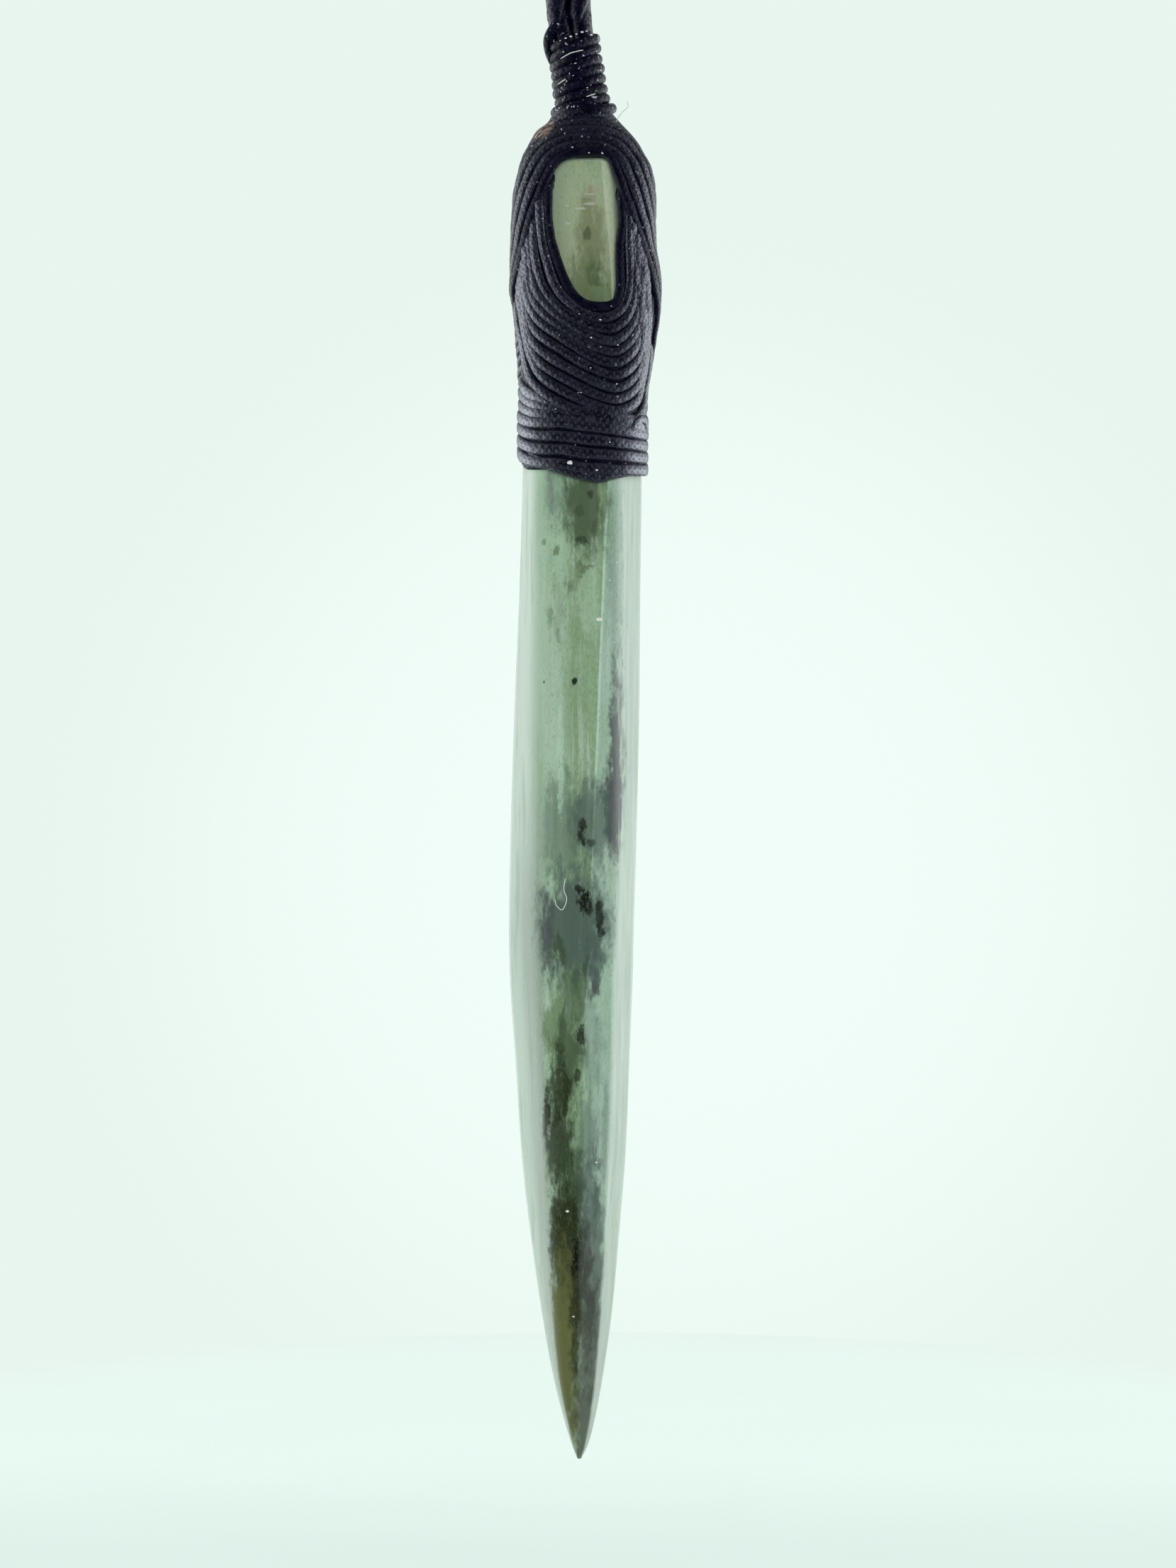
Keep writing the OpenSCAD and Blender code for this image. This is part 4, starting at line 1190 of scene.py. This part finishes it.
def makeWhipping():
    mesh, square, start = StrandMesh(), whipping["square"], whipping["start"]
    lean = math.radians(whipping["lean"])
    axis = Vector((-math.sin(lean), 0, math.cos(lean)))
    side = Vector((math.cos(lean), 0, math.sin(lean)))
    foot = Vector((whipping["foot"][0], 0, whipping["foot"][1]))
    turns, ring, pitch = whipping["turns"], whipping["ring"], whipping["pitch"]
    lowTilt, highTilt = whipping["lowTilt"], whipping["highTilt"]
    steps = int(turns * 2 * math.pi * whipping["radius"] / ring)
    size, middle, reach = whipping["bulge"]
    lowSize, grows, ends = whipping["lowBulge"]
    outKey, upKey = whipping["keys"]
    path, normals = [], []
    for i in range(int(-whipping["hidden"] * steps / turns), steps + 1):
        turn = turns * i / steps
        spin = 2 * math.pi * turn
        tilt = math.radians(lowTilt + (highTilt - lowTilt) * turn / turns)
        bulge = size * hump(turn, middle, reach)
        bulge += lowSize * smoothStep(*grows, turn) * smoothStep(*ends, turn)
        radius = whipping["radius"] + bulge + wander(outKey, i * ring, *whipping["unevenOut"])
        out = side * math.sin(spin) + forward * math.cos(spin)
        up = whipping["firstHeight"] + pitch * turn * (1 - whipping["closer"])
        up += math.tan(tilt) * radius * math.sin(spin)
        path.append(foot + axis * (up + wander(upKey, i * ring, *whipping["unevenUp"])) + out * radius)
        normals.append(out)
    cord = whipping["cord"]
    mesh.add(path, normals, cord, cord * whipping["pressed"], square=square, start=start)
    inner = whipping["inner"]  # a second layer beneath, so that nothing shows between the turns
    path, normals = [], []
    for i in range(steps + 1):
        spin = 2 * math.pi * turns * i / steps
        out = side * math.sin(spin) + forward * math.cos(spin)
        up = inner["height"] + pitch * inner["pitch"] * turns * i / steps
        path.append(foot + axis * up + out * inner["radius"])
        normals.append(out)
    mesh.add(path, normals, inner["wide"], inner["thick"], inner["sides"], square, start)
    path = freePath(whipping["loop"], whipping["loopStep"])
    normals = [(p - foot - axis * (p - foot).dot(axis)).normalized() for p in path]
    mesh.add(path, normals, whipping["loopWide"], whipping["loopThick"], square=square)
    mesh.build("whipping_turns", whippingCord, "neck_whipping", "whipping_cord")


makeWhipping()


# Small things caught on the surface: crumbs of wax and a few fibres
lint = {
    "onLashing": [  # x, height, size as seen from the front
        (-0.6, 87.6, 0.55), (1.75, 86.95, 0.24), (2.05, 100.1, 0.2), (1.25, 98.55, 0.2), (3.6, 97.9, 0.18),
        (1.2, 95.9, 0.16), (3.5, 94.5, 0.18), (-0.4, 115.25, 0.2), (1.05, 114.75, 0.18),
        (2.25, 114.7, 0.18), (0.2, 100.6, 0.12), (-5.2, 104.6, 0.12), (6.6, 105.3, 0.12),
        (-1.9, 92.3, 0.14), (2.9, 89.4, 0.16), (-3, 109, 0.12)],
    "onWhipping": [
        (-1.45, 124.75, 0.16), (-1, 124.95, 0.22), (-0.55, 125.1, 0.26), (-0.05, 125.3, 0.2),
        (0.45, 125.5, 0.28), (0.85, 125.6, 0.2), (1.25, 125.3, 0.26), (-1.3, 122, 0.18),
        (-0.9, 121.2, 0.16), (-1.4, 120.3, 0.2), (-1.2, 119.6, 0.2), (0.9, 120.6, 0.16),
        (1.6, 119.5, 0.18), (0.2, 118.9, 0.16), (-0.9, 118.8, 0.14)],
    "onStone": [
        (1.95, 73.9, 0.6), (3.5, 78.9, 0.2), (2.9, 77.3, 0.18), (3.2, 71.9, 0.14), (-0.85, 21.9, 0.34),
        (-0.3, 12.6, 0.26), (1.7, 26.2, 0.24)],
    "sink": 0.02,
    "standOut": 0.42,  # share of the whipping's cord beyond the middle of its turns
    "crumb": (0.95, 0.6, 0.4),
    "lump": (0.45, 3.1, 3.7),  # how lumpy, how fine, and how far the next crumb's lumps differ
    "wax": (colour(0.5, 0.5, 0.5), colour(0.85, 0.85, 0.82)),
    "waxGrain": 6.0,
    "waxRough": (0.35, 0.6),
    "stoneFibre": [
        (-1, 51.2), (-1.15, 50.2), (-0.9, 49.3), (-1.3, 48.4), (-1.8, 48.8), (-1.95, 49.4)],
    "looseFibre": [
        (3.2, -1, 116.6), (3.4, -1.6, 117.6), (4, -1.8, 118.5), (4.5, -1.7, 119), (4.4, -1.6, 119.5)],
    "threads": [  # pale threads that lie along the whipping's turns
        [(-1.9, 122.85), (-1.3, 123.25), (-0.64, 123.6), (0, 123.8), (0.56, 123.9)],
        [(-1.79, 120.9), (-1.3, 121.2), (-0.81, 121.45), (-0.3, 121.65), (0.1, 121.7)],
        [(-0.5, 122.5), (-0.1, 122.75), (0.2, 122.7), (0.56, 122.8)],
        [(0.8, 119.8), (1.2, 119.95), (1.65, 120.1)],
        [(-0.8, 119.05), (-0.45, 118.95), (-0.1, 119)]],
    "dip": (0.14, 2.5),  # they dip into the cord here and there
    "key": 300,
    "proud": 0.03,  # how far the fibre stands out from the stone
    "step": 0.12,
    "thread": (0.1, 0.07),
    "fibre": (0.09, 0.09),
    "looseThick": (0.06, 0.06),
    "fibreTones": (colour(0.40, 0.42, 0.40), colour(0.72, 0.75, 0.72)),
    "fibreGrain": 2.0,
    "fibreRough": 0.6,
    "fibreSides": 6,
}


def stoneFront(x, height):  # how far forward the stone's face lies there
    section = stoneSection(height)
    for p, q in zip(section, section[1:]):
        if p[0] <= x <= q[0] and p[1] + q[1] < 0:
            return p[1] + (q[1] - p[1]) * (x - p[0]) / max(q[0] - p[0], 1e-6)
    return section[0][1]


def whippingFront(x, height):
    reach = whipping["radius"] + whipping["cord"] * lint["standOut"]
    middle = whipping["foot"][0] - (height - whipping["foot"][1]) * math.tan(math.radians(whipping["lean"]))
    return -math.sqrt(max(reach ** 2 - (x - middle) ** 2, 0.05))


def makeCrumbs():
    spots = []
    for x, height, size in lint["onLashing"]:
        share = shareAt(x, height)
        spots.append((onLashing(share, height, lint["sink"]), lashingNormal(share, height), size))
    for rows, front in ((lint["onWhipping"], whippingFront), (lint["onStone"], stoneFront)):
        spots += [(Vector((x, front(x, height), height)), forward, size) for x, height, size in rows]
    crumbs = bmesh.new()
    wide, long, high = lint["crumb"]
    lumpy, fine, apart = lint["lump"]
    for i, (place, out, size) in enumerate(spots):
        made = bmesh.ops.create_icosphere(crumbs, subdivisions=2, radius=0.5)
        turn = out.to_track_quat("Z", "Y")
        for vert in made["verts"]:
            lump = 1 + lumpy * noise.noise(vert.co * fine + Vector((i * apart, 0, 0)))
            x, y, z = vert.co
            spot = place + turn @ (Vector((x * size * wide, y * size * long, z * size * high)) * lump)
            vert.co = Vector((spot.x, spot.y, spot.z - loopTop)) * mm
    mesh = bpy.data.meshes.new("wax_crumbs")
    crumbs.to_mesh(mesh)
    crumbs.free()
    s = Shades("paleWax")
    cloudy = s.grain(s.scaled(s.where(), (1 / mm,) * 3), lint["waxGrain"])
    wax = s.surface(Base_Color=s.blend(cloudy, *lint["wax"]),
                    Roughness=s.stretch(cloudy, *grainRange, *lint["waxRough"]))
    finishPiece("wax_crumbs", mesh, wax)


def makeFibres():
    fibres, step = StrandMesh(), lint["step"]

    def addFibre(path, size):
        fibres.add(path, [forward] * len(path), *size, sides=lint["fibreSides"], square=2.0)

    curl = [(x, stoneFront(x, height) - lint["proud"], height) for x, height in lint["stoneFibre"]]
    addFibre(freePath(curl, step), lint["fibre"])
    addFibre(freePath(lint["looseFibre"], step), lint["looseThick"])
    for i, thread in enumerate(lint["threads"]):
        path = freePath([(x, whippingFront(x, height), height) for x, height in thread], step)
        for j, point in enumerate(path):
            point.y += wander(lint["key"] + i, j * step, *lint["dip"])
        addFibre(path, lint["thread"])
    s = Shades("paleFibre")
    tone = s.blend(s.grain(s.lie(), lint["fibreGrain"]), *lint["fibreTones"])
    pale = s.surface(Base_Color=tone, Roughness=lint["fibreRough"])
    fibres.build("loose_fibres", pale, slot="whipping_cord")


makeCrumbs()
makeFibres()


# Stage: pale floor, soft light
stageSet = {
    "floorDrop": 20.0,  # floor under the tip
    "floorAside": 0.003,
    "floorReach": (0.15, 0.398),
    "floorRings": ((0.5, 0.0), (0.9, 0.0), (0.97, 0.0), (1.0, -0.0015)),  # share of the reach, height
    "floorRim": 128,
    "floorTones": (colour(0.27, 0.30, 0.29), colour(0.29, 0.32, 0.31)),
    "floorGrain": (30.0, 30.0, 30.0),
    "floorRough": 0.7,
    "floorNear": colour(0.63, 0.744, 0.698),
    "floorFar": colour(0.715, 0.835, 0.785),
    "farFrom": (0.09, 0.21),  # painted fall-off: the floor's glow is a little darker towards the camera
    "floorFront": colour(0.54, 0.645, 0.60),
    "frontFrom": (-0.06, -0.34),  # less glow where the fill light falls
    "meltFrom": (0.76, 0.98),  # the rim melts into the backdrop
    "depthLight": [  # dark in front, where the camera stands, and bright from the sides round to the back
        (0, 0), (0.067, 0.01), (0.117, 0.08), (0.179, 0.25), (0.25, 0.47), (0.36, 0.78), (0.5, 1),
        (0.72, 1), (0.86, 0.75), (1, 0.25)],
    "riseLight": [
        (0, 0.05), (0.22, 0.25), (0.37, 1), (0.5, 1), (0.6, 0.62), (0.72, 0.2), (1, 0.05)],
    "tentStrength": 2.7,
    "tentTint": colour(0.95, 1.0, 0.975),
    "near": colour(0.88, 0.985, 0.94),
    "far": colour(0.81, 0.915, 0.862),
    "pool": ((0.012, 1.0, -0.012), 0.9955),  # the backdrop is a little brighter behind the middle
    "lights": [  # name, place, aim, size, power, whether it gives glare
        ("softboxTop", (-0.16, -0.26, 0.10), (0, 0, -0.30), 0.06, 0.02, True),
        ("softboxFill", (0.05, -0.60, -0.20), (0, 0, -0.33), 0.30, 2.2, False)],
}


def makeFloor():
    rim, (wide, deep) = stageSet["floorRim"], stageSet["floorReach"]
    points = [(0.0, 0.0, 0.0)]
    for reach, lift in stageSet["floorRings"]:
        for j in range(rim):
            a = 2 * math.pi * j / rim
            points.append((wide * reach * math.sin(a), deep * reach * math.cos(a), lift))
    faces = [(0, 1 + j, 1 + (j + 1) % rim) for j in range(rim)]
    for ring in range(len(stageSet["floorRings"]) - 1):
        for j in range(rim):
            a, b = 1 + ring * rim + j, 1 + ring * rim + (j + 1) % rim
            faces.append((a, a + rim, b + rim, b))
    mesh = bpy.data.meshes.new("floor")
    mesh.from_pydata(points, [], faces)
    mesh.polygons.foreach_set("use_smooth", [True] * len(mesh.polygons))
    floor = bpy.data.objects.new("floor", mesh)
    floor.location = (stageSet["floorAside"], 0, (-stageSet["floorDrop"] - loopTop) * mm)
    scene.collection.objects.link(floor)
    s = Shades("paleFloor")
    x, y = s.split(s.where())[:2]
    across = s.sum("POWER", s.sum("DIVIDE", s.sum("ABSOLUTE", x), wide), 2.0)
    onward = s.sum("POWER", s.sum("DIVIDE", s.sum("ABSOLUTE", y), deep), 2.0)
    fade = s.stretch(s.sum("ADD", across, onward), *stageSet["meltFrom"])
    soft = s.grain(s.scaled(s.where(), stageSet["floorGrain"]), 1.0, 3.0)
    lit = s.blend(s.stretch(soft, *grainRange), *stageSet["floorTones"])
    # painted light: the floor glows, a little darker towards the camera and less where the fill light falls
    shine = s.blend(s.stretch(y, *stageSet["farFrom"]), stageSet["floorNear"], stageSet["floorFar"])
    shine = s.blend(s.stretch(y, *stageSet["frontFrom"]), shine, stageSet["floorFront"])
    mesh.materials.append(s.surface(
        Base_Color=s.blend(fade, lit, colour(0, 0, 0)), Roughness=stageSet["floorRough"],
        Emission_Color=s.blend(fade, shine, stageSet["far"]), Emission_Strength=1.0, Specular_IOR_Level=0.0))
    floor.visible_glossy = False  # so that the cords stay dark underneath
    print("floor ready")


def makeTent():
    scene.world = bpy.data.worlds.new("lightTent")
    s = Nodes(scene.world)
    view = s.where("Generated")
    y, z = s.split(view)[1:]

    def shareOf(value, stops):
        share = s.stretch(value, -1.0, 1.0, how="LINEAR")
        return s.ramp(share, [(place, colour(grey, grey, grey)) for place, grey in stops], "EASE")

    both = s.blend(1.0, shareOf(y, stageSet["depthLight"]), shareOf(z, stageSet["riseLight"]), "MULTIPLY")
    tinted = s.blend(1.0, both, stageSet["tentTint"], "MULTIPLY")
    tent = s.add("ShaderNodeBackground", {"Color": tinted, "Strength": stageSet["tentStrength"]})
    middle, edge = stageSet["pool"]
    toMiddle = s.vectors("DOT_PRODUCT", view, Vector(middle).normalized(), "Value")
    backdrop = s.blend(s.stretch(toMiddle, edge, 1.0), stageSet["far"], stageSet["near"])
    seen = s.add("ShaderNodeBackground", {"Color": backdrop})
    direct = s.add("ShaderNodeLightPath", {}, "Is Camera Ray")
    s.make("ShaderNodeOutputWorld", {"Surface": s.add("ShaderNodeMixShader", {0: direct, 1: tent, 2: seen})})
    print("light tent ready")


def makeLights():
    for name, place, aim, size, power, glare in stageSet["lights"]:
        light = bpy.data.lights.new(name, "AREA")
        light.shape = "RECTANGLE"
        light.size = light.size_y = size
        light.energy = power
        lamp = bpy.data.objects.new(name, light)
        lamp.location = place
        lamp.rotation_euler = (Vector(aim) - Vector(place)).to_track_quat("-Z", "Y").to_euler()
        lamp.visible_camera = False
        lamp.visible_glossy = glare
        scene.collection.objects.link(lamp)
    scene.view_settings.view_transform = "Standard"
    scene.view_settings.look = "None"
    print("lights ready")


makeFloor()
makeTent()
makeLights()
